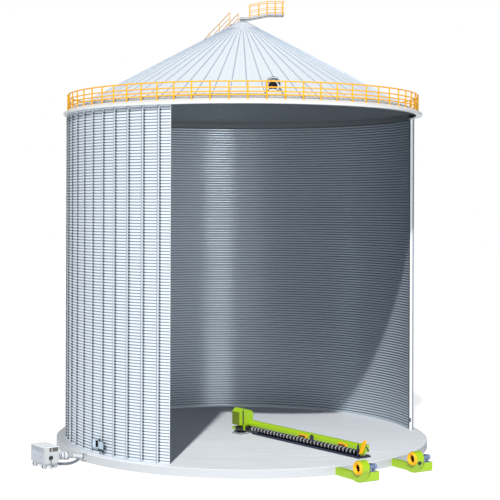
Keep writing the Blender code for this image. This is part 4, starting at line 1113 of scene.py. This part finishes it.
class SILO_OT_sweep(bpy.types.Operator):
    """Sweep auger: floor plate, drive head, mast, shield, flighting, skirt and end drive"""

    bl_idname = "silo.sweep"
    bl_label = "Sweep auger"

    def flighting(self, sizes, base):
        """The screw's navy core, a shaft whose dark colour also paints the shadow between the flights, and
        its pale helical blade, tapered to a thin edge.
        """
        shape, core = Shape(), Shape()
        place = along_axis(base, (0.0, SCREW_OFFSET, SCREW_HEIGHT), X_AXIS)
        near, far = ARM_START + 0.001, ARM_END - 0.001
        # Navy core: the shaft, and painted shadow seen between the flights.
        core.lathe(((AXIS, near), (0.08, near), (0.08, far), (AXIS, far)), 20, place)
        piece("sweep_screw_core", core, "navy", body="screw", smooth=40.0)
        start, end = ARM_START + 0.02, ARM_END - 0.06
        per_turn = 20
        count = round((end - start) / sizes.flight_pitch * per_turn)
        bevel = SCREW_RADIUS - 0.01
        section = ((0.075, -0.012), (bevel, -0.007), (SCREW_RADIUS, 0.0), (bevel, 0.007), (0.075, 0.012))
        rows = []
        for index in range(count + 1):
            along = start + (end - start) * index / count
            turn = -2.0 * math.pi * index / per_turn
            rows.append([place @ Vector((radius * math.cos(turn), radius * math.sin(turn), along + lift))
                         for radius, lift in section])
        shape.strip(rows)
        piece("sweep_flighting", shape, "white", body="screw", replaces=("sweep_screw",),
              smooth=40.0)

    def execute(self, context):
        sizes = context.scene.silo_sizes
        base = heading(SWEEP_ANGLE, (0.0, 0.0, FLOOR))
        self.base_plates()
        self.head(base)
        self.mast(base)
        self.flighting(sizes, base)
        self.shield(base)
        self.skirt(base)
        self.end(base)
        return {"FINISHED"}

    def base_plates(self):
        """Square floor plate round the pivot, with a pale top, a dark edge, a raised seat and bolts."""
        shape, top, bolts = Shape(), Shape(), Shape()
        for target, low, high, wide, narrow, sides in ((shape, 0.001, 0.040, 0.62, 0.62, 4),
                                                       (shape, 0.050, 0.098, 0.34, 0.32, 40),
                                                       (top, 0.039, 0.052, 0.60, 0.60, 4)):
            low, high = FLOOR + low, FLOOR + high
            target.lathe(((AXIS, low), (wide, low), (narrow, high), (AXIS, high)), sides, WORLD)
        for number in range(12):
            turn = 90.0 * (number // 3)
            middle = polar(0.38, turn + 45.0, FLOOR + 0.051)
            spot = middle + polar(0.17 * (number % 3 - 1), turn + 135.0, 0.0)
            bolts.bolt(WORLD, spot, Z_AXIS, 0.016, 0.016)
        piece("sweep_base_plate", shape, "rubber", replaces=("sweep_base",),
              smooth=20.0)
        piece("sweep_base_top", top, "plate")
        piece("sweep_base_bolts", bolts, "fixing")

    def head(self, base):
        """Drive housing with a sloped lid and a side cover in darker green that paints the shade on that
        face, its carriage, leg and gearbox.
        """
        across = lambda u, v, w: base @ Vector((w, u, v))
        shape = Shape()
        outline = ((-0.455, 0.615), (0.725, 0.615), (0.725, 1.385), (0.575, 1.552), (-0.19, 1.735),
                   (-0.455, 1.50))
        shape.prism(outline, -0.41, 0.408, across)
        for first, last in (((-0.47, 1.50), (-0.19, 1.74)), ((-0.19, 1.74), (0.58, 1.555)),
                            ((0.58, 1.555), (0.73, 1.385))):
            strip = (first, last, (last[0], last[1] + 0.02), (first[0], first[1] + 0.02))
            shape.prism(strip, -0.42, 0.42, across)
        shape.box(base, (0.405, -0.08, 0.70), (0.419, 0.62, 1.32))
        for spot in (-0.468, 0.688):
            shape.box(base, (0.40, spot, 0.612), (0.419, spot + 0.04, 1.40))
        shape.box(base, (-0.24, -0.10, 0.46), (0.24, 0.50, 0.62))
        shape.box(base, (0.322, -0.10, 0.25), (0.424, 0.02, 0.62))
        shape.box(base, (-0.408, -0.459, 0.295), (-0.05, -0.40, 0.455))
        piece("sweep_head_housing", shape, "green", body="sweep", replaces=("sweep_head",),
              smooth=30.0, bevel=0.006)
        # Side cover in darker lime: painted shade on the housing's left face.
        cover = Shape()
        cover.box(base, (-0.405, -0.468, 0.62), (0.398, -0.456, 1.49))
        cover.box(base, (-0.34, -0.474, 0.72), (0.34, -0.466, 1.40))
        piece("sweep_head_side_cover", cover, "lime_shade", body="sweep", bevel=0.003)
        fixings = Shape()
        for y in (-0.05, 0.27, 0.59):
            for z in (0.73, 1.01, 1.29):
                fixings.bolt(base, (0.418, y, z), X_AXIS, 0.012, 0.010)
        for x in (-0.37, 0.0, 0.37):
            for z in (0.66, 1.45):
                fixings.bolt(base, (x, -0.467, z), MINUS_Y, 0.012, 0.010)
        piece("sweep_head_bolts", fixings, "fixing", body="sweep")
        black = Shape()
        black.box(base, (-0.30, SCREW_OFFSET - 0.16, 0.16), (0.422, SCREW_OFFSET + 0.15, 0.739))
        black.box(base, (-0.41, -0.40, 0.29), (0.32, 0.30, 0.459))
        black.box(base, (-0.04, -0.459, 0.29), (0.40, -0.10, 0.459))
        black.lathe(((AXIS, 0.101), (0.17, 0.101), (0.17, 0.13), (0.13, 0.15), (0.13, 0.58), (0.17, 0.60),
                     (0.17, 0.64), (AXIS, 0.64)), 32, base)
        piece("sweep_carriage_gearbox", black, "rubber", body="sweep", smooth=30.0,
              bevel=0.006)

    def mast(self, base):
        """The channel that stands on the housing's far side, and its long rod."""
        mast, rod = Shape(), Shape()
        for near, far, left, right in ((0.4205, 0.43, -0.20, -0.12), (0.429, 0.468, -0.20, -0.192),
                                       (0.429, 0.468, -0.128, -0.12)):
            mast.box(base, (near, left, 0.66), (far, right, 1.60))
        for level in (0.72, 1.10, 1.54):
            mast.bolt(base, (0.4295, -0.16, level), X_AXIS, 0.012, 0.012)
        rod.tube([base @ Vector((0.447, -0.16, level)) for level in (0.70, 2.36)], 0.015, 10)
        piece("sweep_mast_channel", mast, "dark", body="sweep", replaces=("sweep_mast",),
              bevel=0.002)
        piece("sweep_mast_rod", rod, "lime_shade", body="sweep", smooth=40.0)

    def shield(self, base):
        """The folded shield over the screw with its black lining, which also paints the shade under the
        shield, straps, plates and hanger bearing.
        """
        s = SCREW_OFFSET
        place = lambda u, v, w: base @ Vector((w, u, v))
        folds = ((s + 0.25, 0.101), (s + 0.25, 0.70), (s + 0.08, 0.88), (s - 0.12, 0.88), (s - 0.27, 0.72),
                 (s - 0.27, 0.545))
        inner = ((s + 0.242, 0.101), (s + 0.242, 0.696), (s + 0.077, 0.872), (s - 0.117, 0.872),
                 (s - 0.262, 0.717), (s - 0.262, 0.545))
        lined = [(u - 0.004 if u > s else u + 0.004, v - 0.004) for u, v in inner]
        shape, lining, straps = Shape(), Shape(), Shape()
        ends = (0.421, ARM_END - 0.001)
        shape.shell(folds + inner[::-1], ends, place)
        for w in ends:
            shape.grid([[place(u, v, w) for u, v in row] for row in (folds, inner)])
        # Black lining: partly the shield's lining, partly painted shade under it.
        lining.shell(lined, ends, place, closed=False)
        band = [(u + (0.006 if u > s else -0.006), v + 0.006) for u, v in folds]
        for number in range(STRAPS):
            along = 0.60 + number * STRAP_STEP
            straps.shell(band, (along, along + 0.05), place, closed=False)
        piece("sweep_shield_sheet", shape, "green", body="sweep", replaces=("sweep_shield",),
              smooth=20.0)
        piece("sweep_shield_lining", lining, "black", body="sweep")
        piece("sweep_shield_straps", straps, "green", body="sweep")
        plates, panels = Shape(), Shape()
        for along in PLATE_SPOTS:
            plates.box(base, (along - 0.43, s - 0.29, 0.56), (along + 0.43, s - 0.272, 0.77))
            panels.box(base, (along - 0.40, s - 0.296, 0.575), (along + 0.22, s - 0.289, 0.665))
        piece("sweep_shield_plates", plates, "orange", body="sweep", bevel=0.002)
        piece("sweep_shield_panels", panels, "black", body="sweep")
        hanger = Shape()
        disc = along_axis(base, (HANGER_SPOT, s - 0.272, 0.68), MINUS_Y)
        hanger.lathe(((AXIS, 0.0), (0.17, 0.0), (0.18, 0.015), (0.18, 0.045), (0.12, 0.06), (0.09, 0.08),
                      (AXIS, 0.08)), 28, disc)
        hanger.box(base, (HANGER_SPOT - 0.05, s - 0.29, 0.42), (HANGER_SPOT + 0.05, s - 0.255, 0.60))
        piece("sweep_hanger_bearing", hanger, "navy", body="sweep", smooth=30.0,
              bevel=0.003)

    def skirt(self, base):
        """The dark strip along the floor under the shield, its end shoe and bolts."""
        s = SCREW_OFFSET
        place = lambda u, v, w: base @ Vector((w, u, v))
        skirt = Shape()
        outline = ((s - 0.36, 0.021), (s + 0.25, 0.021), (s + 0.25, 0.099), (s + 0.20, 0.099),
                   (s + 0.16, 0.05), (s - 0.30, 0.05), (s - 0.34, 0.129), (s - 0.36, 0.129))
        skirt.shell(outline, (0.80, ARM_END + 0.26), place)
        skirt.box(base, (11.22, s - 0.37, 0.021), (11.58, s + 0.65, 0.099))
        for number in range(26):
            along = 1.0 + number * 0.4
            skirt.bolt(base, (along, s - 0.36, 0.10), MINUS_Y, 0.013, 0.010)
        piece("sweep_skirt_strip", skirt, "navy", body="sweep", replaces=("sweep_skirt",),
              smooth=20.0)

    def end(self, base):
        """The end cheek with its bearing, the drive box behind it and the slanted orange bar."""
        s = SCREW_OFFSET
        place = lambda u, v, w: base @ Vector((w, u, v))
        shape = Shape()
        outline = ((s - 0.29, 0.1305), (s + 0.30, 0.1305), (s + 0.30, 0.66), (s + 0.10, 0.918),
                   (s - 0.14, 0.918), (s - 0.29, 0.74))
        back = Shape()
        back.prism(outline, ARM_END, ARM_END + 0.012, place)
        piece("sweep_end_back_plate", back, "navy", body="sweep")
        front = ((s - 0.02, 0.1305), (s + 0.30, 0.1305), (s + 0.30, 0.66), (s + 0.10, 0.918),
                 (s - 0.14, 0.918))
        shape.prism(front, ARM_END + 0.011, ARM_END + 0.03, place)
        shape.box(base, (ARM_END, s + 0.27, 0.1305), (ARM_END + 0.099, s + 0.30, 0.66))
        shape.box(base, (11.062, s + 0.262, 0.302), (11.417, s + 0.658, 0.758))
        hub = along_axis(base, (ARM_END + 0.02, s, SCREW_HEIGHT), X_AXIS)
        shape.lathe(((AXIS, 0.0), (0.11, 0.0), (0.11, 0.03), (0.07, 0.05), (0.07, 0.078), (AXIS, 0.078)),
                    24, hub)
        piece("sweep_end_cheek", shape, "green", body="sweep", replaces=("sweep_end_plate",),
              smooth=30.0, bevel=0.004)
        marks = Shape()
        mark = ((s + 0.34, 0.64), (s + 0.43, 0.70), (s + 0.658, 0.38), (s + 0.57, 0.31))
        marks.prism(mark, 11.417, 11.424, place)
        for number in range(4):
            turn = math.radians(45.0 + 90.0 * number)
            spot = (ARM_END + 0.05, s + 0.09 * math.cos(turn), SCREW_HEIGHT + 0.09 * math.sin(turn))
            marks.bolt(base, spot, X_AXIS, 0.013, 0.012)
        piece("sweep_end_drive_mark", marks, "dark", body="sweep")
        bar = Shape()
        low, high = ARM_END + 0.101, ARM_END + 0.179
        for foot, foot_end, head_end, head, far in ((-0.22, 0.02, 0.41, 0.11, low + 0.02),
                                                    (-0.22, -0.19, 0.14, 0.11, high),
                                                    (-0.01, 0.02, 0.41, 0.38, high)):
            outline = ((s + foot, 0.28), (s + foot_end, 0.28), (s + head_end, 1.05), (s + head, 1.05))
            bar.prism(outline, low, far, place)
        piece("sweep_scraper_bar", bar, "orange", body="sweep", replaces=("sweep_end_bar",),
              smooth=20.0, bevel=0.004)


class SILO_OT_fans(bpy.types.Operator):
    """Two centrifugal fans with ducts, bell inlets, impellers and finned motors"""

    bl_idname = "silo.fans"
    bl_label = "Fans"

    def casing(self, name, base):
        """Scroll with its round opening, the duct with its flanges, the motor stand and a black liner that
        paints the shade inside the scroll.
        """
        reach, axle = FAN_REACH, FAN_AXLE_HEIGHT
        shape = Shape()
        side = lambda u, v, w: base @ Vector((u, w, v))

        def snail(radius):
            """The scroll's outline in (along, height): most of a circle, then its foot."""
            ring = []
            for index in range(45):
                angle = math.radians(180.0 - index * 5.0)
                ring.append((reach + radius * math.cos(angle), axle + radius * math.sin(angle)))
            ring += [(reach + 0.25, 0.32), (reach + 0.13, 0.07), (reach + 0.08, 0.002),
                     (reach - 0.34, 0.002), (reach - 0.49, 0.10)]
            return ring

        rim, edge = snail(FAN_SCROLL_RADIUS - 0.012), snail(FAN_SCROLL_RADIUS)
        shape.shell(rim, (FAN_NEAR + 0.01, FAN_FAR - 0.005), side)
        shape.prism(edge, FAN_FAR - 0.014, FAN_FAR, side)
        eye = []
        for u, v in edge:
            angle = math.atan2(v - axle, u - reach)
            eye.append((reach + FAN_EYE * math.cos(angle), axle + FAN_EYE * math.sin(angle)))
        sheets = (FAN_NEAR, FAN_NEAR + 0.015)
        for across in sheets:
            shape.grid([[side(u, v, across) for u, v in edge], [side(u, v, across) for u, v in eye]],
                       round_columns=True)
        shape.shell(edge, sheets, side)
        shape.shell(eye, sheets, side)
        start = FAN_DUCT_START[name]
        shape.box(base, (start + 0.001, -0.058, 0.021), (reach - 0.22, 0.258, 0.468))
        for low in (start + 0.10, start + 1.00, reach - 0.62):
            shape.box(base, (low, -0.075, 0.006), (low + 0.05, 0.275, 0.485))
        stand = ((reach - 0.28, 0.002), (reach + 0.06, 0.002), (reach + 0.16, 0.07), (reach + 0.18, 0.558),
                 (reach - 0.20, 0.558), (reach - 0.28, 0.40))
        shape.prism(stand, FAN_FAR - 0.02, FAN_BACK - 0.001, side)
        piece(name + "_scroll", shape, "green", replaces=(name + "_casing",),
              smooth=25.0, bevel=0.004, steps=1)
        # Black liner inside the scroll: painted shade seen through the inlet.
        liner = Shape()
        axis = along_axis(base, (reach, 0.0, axle), Y_AXIS)
        liner.lathe(((0.372, FAN_NEAR + 0.004), (0.372, 0.228), (0.0355, 0.228)), 40, axis)
        piece(name + "_scroll_shade_liner", liner, "black", smooth=30.0)

    def execute(self, context):
        for name, (x, y) in FAN_POINTS.items():
            base = heading(FAN_ANGLE, (x, y, 0.0))
            axle = along_axis(base, (FAN_REACH, 0.0, FAN_AXLE_HEIGHT), Y_AXIS)
            body = "impeller_" + name.split("_")[1]
            self.casing(name, base)
            bell = Shape()
            bell.lathe(((0.205, -0.2005), (0.207, -0.225), (0.225, -0.27), (0.26, -0.325), (0.305, -0.355),
                        (0.345, -0.361), (0.375, -0.335), (0.39, -0.28), (0.40, -0.2005), (0.205, -0.2005)),
                       48, axle)
            piece(name + "_bell", bell, "orange", replaces=(name + "_inlet_ring",),
                  smooth=40.0)
            studs = Shape()
            studs.bolt_circle(axle, 12, 0.418, FAN_NEAR + 0.001, MINUS_Z, 0.011, 0.01)
            piece(name + "_bell_bolts", studs, "fixing")
            self.impeller(name, body, axle)
            self.motor(name, base, axle)
        self.port()
        return {"FINISHED"}

    def port(self):
        """The round dark port on the right fan's outer side, with its lip and bolts."""
        x, y = FAN_POINTS["fan_right"]
        base = heading(FAN_ANGLE, (x, y, 0.0))
        tilt = math.radians(-26.0)
        line = Vector((math.cos(tilt), 0.0, math.sin(tilt)))
        place = along_axis(base, Vector((FAN_REACH, -0.03, FAN_AXLE_HEIGHT)), line)
        stub = Shape()
        stub.lathe(((AXIS, 0.42), (0.104, 0.42), (0.104, 0.505), (0.11, 0.51), (0.11, 0.529),
                    (0.092, 0.529), (0.088, 0.50), (AXIS, 0.50)), 32, place)
        stub.bolt_circle(place, 6, 0.10, 0.520, Z_AXIS, 0.007, 0.008)
        piece("fan_right_port_lip", stub, "rubber", replaces=("fan_right_port",),
              smooth=30.0)

    def impeller(self, name, body, axle):
        """Back plate, hub and curved blades."""
        wheel = Shape()
        wheel.lathe(((AXIS, -0.12), (0.05, -0.12), (0.07, -0.06), (0.07, 0.13), (0.34, 0.13), (0.34, 0.17),
                     (0.034, 0.17), (0.034, 0.498), (AXIS, 0.498)), 36, axle)
        for number in range(8):
            start = 2.0 * math.pi * number / 8
            rows = []
            for step in range(7):
                radius = 0.10 + 0.228 * step / 6.0
                turn = start + 0.55 * (step / 6.0) ** 1.4
                near = axle @ Vector((radius * math.cos(turn), radius * math.sin(turn), -0.155))
                far = axle @ Vector((radius * math.cos(turn), radius * math.sin(turn), 0.132))
                rows.append((near, far))
            shift = (rows[-1][0] - rows[0][0]).cross(rows[0][1] - rows[0][0]).normalized() * 0.004
            back = [[point + shift for point in row] for row in rows]
            wheel.grid(rows)
            wheel.grid(back)
            for edge in (0, 1):
                wheel.grid([[row[edge] for row in rows], [row[edge] for row in back]])
            for end in (0, -1):
                wheel.grid([rows[end], back[end]])
        piece(name + "_wheel", wheel, "wheel", body=body, replaces=(name + "_impeller",),
              smooth=30.0)

    def motor(self, name, base, axle):
        """Finned motor with its cowl, terminal box and feet."""
        shape = Shape()
        shape.lathe(((AXIS, 0.501), (0.145, 0.501), (0.155, 0.52), (0.155, 0.88), (AXIS, 0.88)), 32, axle)
        shape.lathe(((AXIS, 0.88), (0.168, 0.88), (0.17, 0.89), (0.17, 1.04), (0.15, 1.069), (AXIS, 1.069)),
                    32, axle)
        for number in range(28):
            spin = axle @ Matrix.Rotation(2.0 * math.pi * number / 28, 4, "Z")
            shape.box(spin, (0.145, -0.004, 0.53), (0.169, 0.004, 0.875))
        reach = FAN_REACH
        shape.box(base, (reach - 0.139, 0.601, 0.561), (reach + 0.139, 0.959, 0.585))
        for across in (0.63, 0.90):
            shape.box(base, (reach - 0.11, across - 0.02, 0.58), (reach + 0.11, across + 0.02, 0.75))
        piece(name + "_motor_frame", shape, "blue", replaces=(name + "_motor",),
              smooth=30.0, bevel=0.002, steps=1)
        trim = Shape()
        trim.box(base, (reach - 0.09, 0.62, 0.985), (reach + 0.09, 0.80, 1.035))
        for spot in (0.525, 0.865):
            trim.lathe(((0.150, spot), (0.1705, spot), (0.1705, spot + 0.02), (0.150, spot + 0.02)), 32,
                       axle)
        for x in (-0.12, 0.12):
            for y in (0.63, 0.92):
                trim.bolt(base, (reach + x, y, 0.585), Z_AXIS, 0.013, 0.014)
        piece(name + "_motor_trim", trim, "navy", smooth=30.0)


class SILO_OT_cooler(bpy.types.Operator):
    """Grain cooler: panelled cabinet, louvres, grilles, chassis with wheels, ribbed duct and inlet"""

    bl_idname = "silo.cooler"
    bl_label = "Grain cooler"

    def execute(self, context):
        base = heading(COOLER_TURN + 90.0, (COOLER_CENTRE[0], COOLER_CENTRE[1], 0.0))
        self.cabinet(base)
        self.chassis(base)
        self.duct(base)
        return {"FINISHED"}

    def cabinet(self, base):
        """Cabinet with a lid, corner posts, door panels, grilles and a round fan guard; the lid lighter as
        painted light on the top, the left face's doors darker as painted shade.
        """
        shape, sides = Shape(), Shape()
        shape.box(base, (-0.485, -0.875, 0.33), (0.485, 0.875, 1.34))
        for x in (-0.50, 0.455):
            for y in (-0.89, 0.845):
                shape.box(base, (x, y, 0.326), (x + 0.045, y + 0.045, 1.34))
        shape.box(base, (-0.44, -0.887, 0.36), (0.44, -0.874, 1.03))
        shape.box(base, (-0.44, 0.874, 0.36), (0.44, 0.887, 1.03))
        # Left face's doors in a darker grey: painted shade.
        for y0, y1 in ((-0.83, -0.01), (0.01, 0.83)):
            sides.box(base, (-0.497, y0, 0.345), (-0.484, y1, 1.04))
        piece("cooler_cabinet_panels", shape, "cooler", replaces=("cooler_cabinet",),
              smooth=25.0, bevel=0.006)
        # Lid in the pale trim look: painted light on the top.
        lid = Shape()
        lid.box(base, (-0.50, -0.89, 1.335), (0.50, 0.89, 1.369))
        piece("cooler_lid", lid, "white_trim", bevel=0.006)
        piece("cooler_side_doors", sides, "cooler_side", bevel=0.004)
        louvres, slats = Shape(), Shape()
        for row in range(7):
            height = 1.065 + row * 0.035
            louvres.box(base, (-0.499, -0.83, height), (-0.484, 0.83, height + 0.022))
            slats.box(base, (-0.15, -0.889, height + 0.004), (-0.01, -0.874, height + 0.030))
            slats.box(base, (0.055, -0.889, height + 0.004), (0.44, -0.874, height + 0.030))
            slats.box(base, (-0.42, 0.874, height + 0.004), (0.42, 0.889, height + 0.020))
        for y in (-0.40, 0.36):
            slats.box(base, (-0.499, y, 0.64), (-0.495, y + 0.03, 0.76))
        piece("cooler_louvres", louvres, "louvre")
        guard = along_axis(base, (-0.05, -0.887, 0.685), MINUS_Y)
        for radius in (0.05, 0.10):
            slats.lathe(((radius, -0.001), (radius, 0.003), (radius + 0.010, 0.003),
                         (radius + 0.010, -0.001)), 32, guard)
        piece("cooler_grilles", slats, "grille", smooth=30.0)
        fan = Shape()
        fan.lathe(((AXIS, 0.0005), (0.15, 0.0005), (0.155, -0.002), (0.155, -0.006), (AXIS, -0.006)), 40,
                  guard)
        piece("cooler_fan_recess", fan, "black", smooth=30.0)

    def chassis(self, base):
        """Frame rails, wheels with tyres and hubs, the jack post and the lower dark hose."""
        rails, tyres, hubs = Shape(), Shape(), Shape()
        for x in (-0.44, 0.36):
            rails.box(base, (x, -0.80, 0.215), (x + 0.08, 0.80, 0.324))
        for y in (-0.80, -0.04, 0.72):
            rails.box(base, (-0.44, y, 0.215), (0.44, y + 0.08, 0.32))
        for x in (-0.36, 0.36):
            for y in (-0.60, 0.60):
                wheel = along_axis(base, (x, y, 0.1605), X_AXIS)
                tyres.lathe(((0.09, -0.12), (0.13, -0.128), (0.152, -0.11), (0.1598, -0.06), (0.1598, 0.06),
                             (0.152, 0.11), (0.13, 0.128), (0.09, 0.12)), 32, wheel)
                hubs.lathe(((AXIS, -0.10), (0.05, -0.10), (0.06, -0.07), (0.094, -0.085), (0.094, 0.085),
                            (0.06, 0.07), (0.05, 0.10), (AXIS, 0.10)), 24, wheel)
                rails.box(base, (x - 0.03, y - 0.03, 0.16), (x + 0.03, y + 0.03, 0.30))
        piece("cooler_frame_rails", rails, "cooler", replaces=("cooler_chassis",),
              smooth=20.0, bevel=0.004)
        piece("cooler_tyres", tyres, "louvre", smooth=50.0)
        piece("cooler_hubs", hubs, "grille", smooth=40.0)
        post = Shape()
        post.tube([base @ Vector((-0.05, -0.905, height)) for height in (0.02, 0.62)], 0.028, 10)
        path = ((0.54, -0.22, 0.24), (0.85, -0.32, 0.15), (1.25, -0.36, 0.105), (1.65, -0.34, 0.11),
                (2.00, -0.28, 0.16), (2.30, -0.18, 0.26))
        post.tube([base @ Vector(spot) for spot in path], 0.085, 16)
        piece("cooler_jack_and_hose", post, "hose", smooth=50.0)

    def duct(self, base):
        """Flexible ribbed duct that narrows to a steel inlet with a flange."""
        start = Vector((0.5003, 0.0, 0.67))
        end = Vector((2.70, 0.0, 0.36))
        line = end - start
        place = along_axis(base, start, line)
        length = line.length
        hose = Shape()
        profile = [(0.22, 0.045)]
        count = DUCT_RINGS * 8
        for index in range(count + 1):
            spot = 0.05 + DUCT_RIBBED * index / count
            wave = 0.5 - 0.5 * math.cos(2.0 * math.pi * index / 8.0)
            profile.append((0.222 + 0.048 * wave ** 0.5, spot))
        profile += [(0.255, 1.04), (0.250, 1.08), (0.24, 1.09), (0.142, 1.31), (0.136, 1.34),
                    (0.136, length - 0.03)]
        hose.lathe(profile, 40, place)
        piece("cooler_duct_hose", hose, "duct", replaces=("cooler_duct",), smooth=40.0)
        bands = Shape()
        for spot, radius in ((0.055, 0.245), (0.295, 0.238), (0.540, 0.238), (0.785, 0.238), (1.06, 0.262),
                             (1.36, 0.142), (length - 0.06, 0.150)):
            bands.lathe(((radius - 0.015, spot - 0.022), (radius, spot - 0.022), (radius, spot + 0.022),
                         (radius - 0.015, spot + 0.022)), 40, place)
        piece("cooler_duct_clamps", bands, "grille", smooth=30.0)
        inlet = Shape()
        inlet.box(base, (2.701, -0.219, 0.121), (2.72, 0.219, 0.519))
        inlet.box(base, (2.719, -0.19, 0.15), (2.93, 0.19, 0.49))
        for y in (-0.195, 0.195):
            for z in (0.145, 0.32, 0.495):
                inlet.bolt(base, (2.701, y, z), MINUS_X, 0.013, 0.012)
        piece("cooler_inlet_flange", inlet, "cooler", replaces=("cooler_inlet",),
              smooth=20.0, bevel=0.003, steps=1)


class SILO_OT_stage(bpy.types.Operator):
    """Slab finish, pale floor, sun, sky light and the camera at the photograph's view"""

    bl_idname = "silo.stage"
    bl_label = "Stage"

    def lamp(self, name, kind, energy, aim):
        """Adds one light that shines along a direction."""
        data = bpy.data.lights.new(name, kind)
        data.energy = energy
        made = bpy.data.objects.new(name, data)
        made.rotation_mode = "QUATERNION"
        made.rotation_quaternion = Vector(aim).to_track_quat("-Z", "Y")
        bpy.context.scene.collection.objects.link(made)
        return made

    def execute(self, context):
        dress("foundation_slab", "concrete")
        scene = context.scene
        scene.view_settings.view_transform = "Standard"
        ground = Shape()
        ground.lathe(((0.001, -0.003), (400.0, -0.003)), 48, WORLD)
        mesh = bpy.data.meshes.new("stage_floor")
        mesh.from_pydata(ground.points, [], ground.faces)
        floor = bpy.data.objects.new("stage_floor", mesh)
        pale = Look("stage_pale_floor", FLOOR_GREY, 0.9)
        pale.set("Emission Color", WHITE)
        pale.set("Emission Strength", FLOOR_GLOW)
        mesh.materials.append(pale.material)
        scene.collection.objects.link(floor)

        sun = self.lamp("stage_sun", "SUN", SUN_ENERGY, SUN_AIM)
        sun.data.angle = math.radians(SUN_WIDTH)
        sun.data.color = SUN_COLOUR
        for name, (energy, aim, place, wide, high) in GLOWS.items():
            glow = self.lamp(name, "AREA", energy, aim)
            glow.location = place
            glow.data.shape = "RECTANGLE"
            glow.data.size = wide
            glow.data.size_y = high

        sky = Sky("stage_sky")
        seen = sky.node("ShaderNodeLightPath", output="Is Camera Ray")
        sky.set("Color", sky.mix(seen, SKY_LIGHT, WHITE))
        scene.world = sky.world

        camera_data = bpy.data.cameras.new("photo_camera")
        camera_data.sensor_width = SENSOR_WIDTH
        camera_data.lens = FOCAL_PIXELS * SENSOR_WIDTH / PHOTO_WIDTH
        camera_data.shift_x = (PHOTO_WIDTH / 2.0 - SIGHT_PIXELS[0]) / PHOTO_WIDTH
        camera_data.shift_y = (SIGHT_PIXELS[1] - PHOTO_WIDTH / 2.0) / PHOTO_WIDTH
        camera_data.clip_start = 1.0
        camera_data.clip_end = 1000.0
        camera = bpy.data.objects.new("photo_camera", camera_data)
        right, back, up = CAMERA_PLACE
        camera.location = (right * WALL_RADIUS, back * WALL_RADIUS, FLOOR + up * WALL_RADIUS)
        camera.rotation_euler = (math.radians(90.0), CAMERA_ROLL, 0.0)
        scene.collection.objects.link(camera)
        scene.camera = camera
        return {"FINISHED"}


class SILO_PT_panel(bpy.types.Panel):
    """Lists the pieces of the silo in the sidebar"""

    bl_idname = "SILO_PT_panel"
    bl_label = "Grain silo"
    bl_space_type = "VIEW_3D"
    bl_region_type = "UI"
    bl_category = "Silo"

    def draw(self, context):
        for group in (context.scene.silo_sizes, context.scene.silo_colours):
            for name in group.bl_rna.properties.keys():
                if name not in ("rna_type", "name"):
                    self.layout.prop(group, name)
        for operator in OPERATORS:
            self.layout.operator(operator.bl_idname)


OPERATORS = (SILO_OT_stage, SILO_OT_walls, SILO_OT_roof, SILO_OT_guardrail, SILO_OT_roof_stair,
             SILO_OT_catwalk, SILO_OT_hatch, SILO_OT_sweep, SILO_OT_fans, SILO_OT_cooler)


def register():
    """Registers the groups, the operators and the panel."""
    for kind in (SiloSizes, SiloColours, *OPERATORS, SILO_PT_panel):
        bpy.utils.register_class(kind)
    bpy.types.Scene.silo_sizes = bpy.props.PointerProperty(type=SiloSizes)
    bpy.types.Scene.silo_colours = bpy.props.PointerProperty(type=SiloColours)


def unregister():
    """Takes everything out again."""
    del bpy.types.Scene.silo_colours
    del bpy.types.Scene.silo_sizes
    for kind in reversed((SiloSizes, SiloColours, *OPERATORS, SILO_PT_panel)):
        bpy.utils.unregister_class(kind)


def main():
    """Builds every piece."""
    register()
    make_looks(bpy.context.scene.silo_colours, bpy.context.scene.silo_sizes.wave_pitch)
    for operator in OPERATORS:
        group, name = operator.bl_idname.split(".")
        getattr(getattr(bpy.ops, group), name)()


if __name__ == "__main__":
    main()
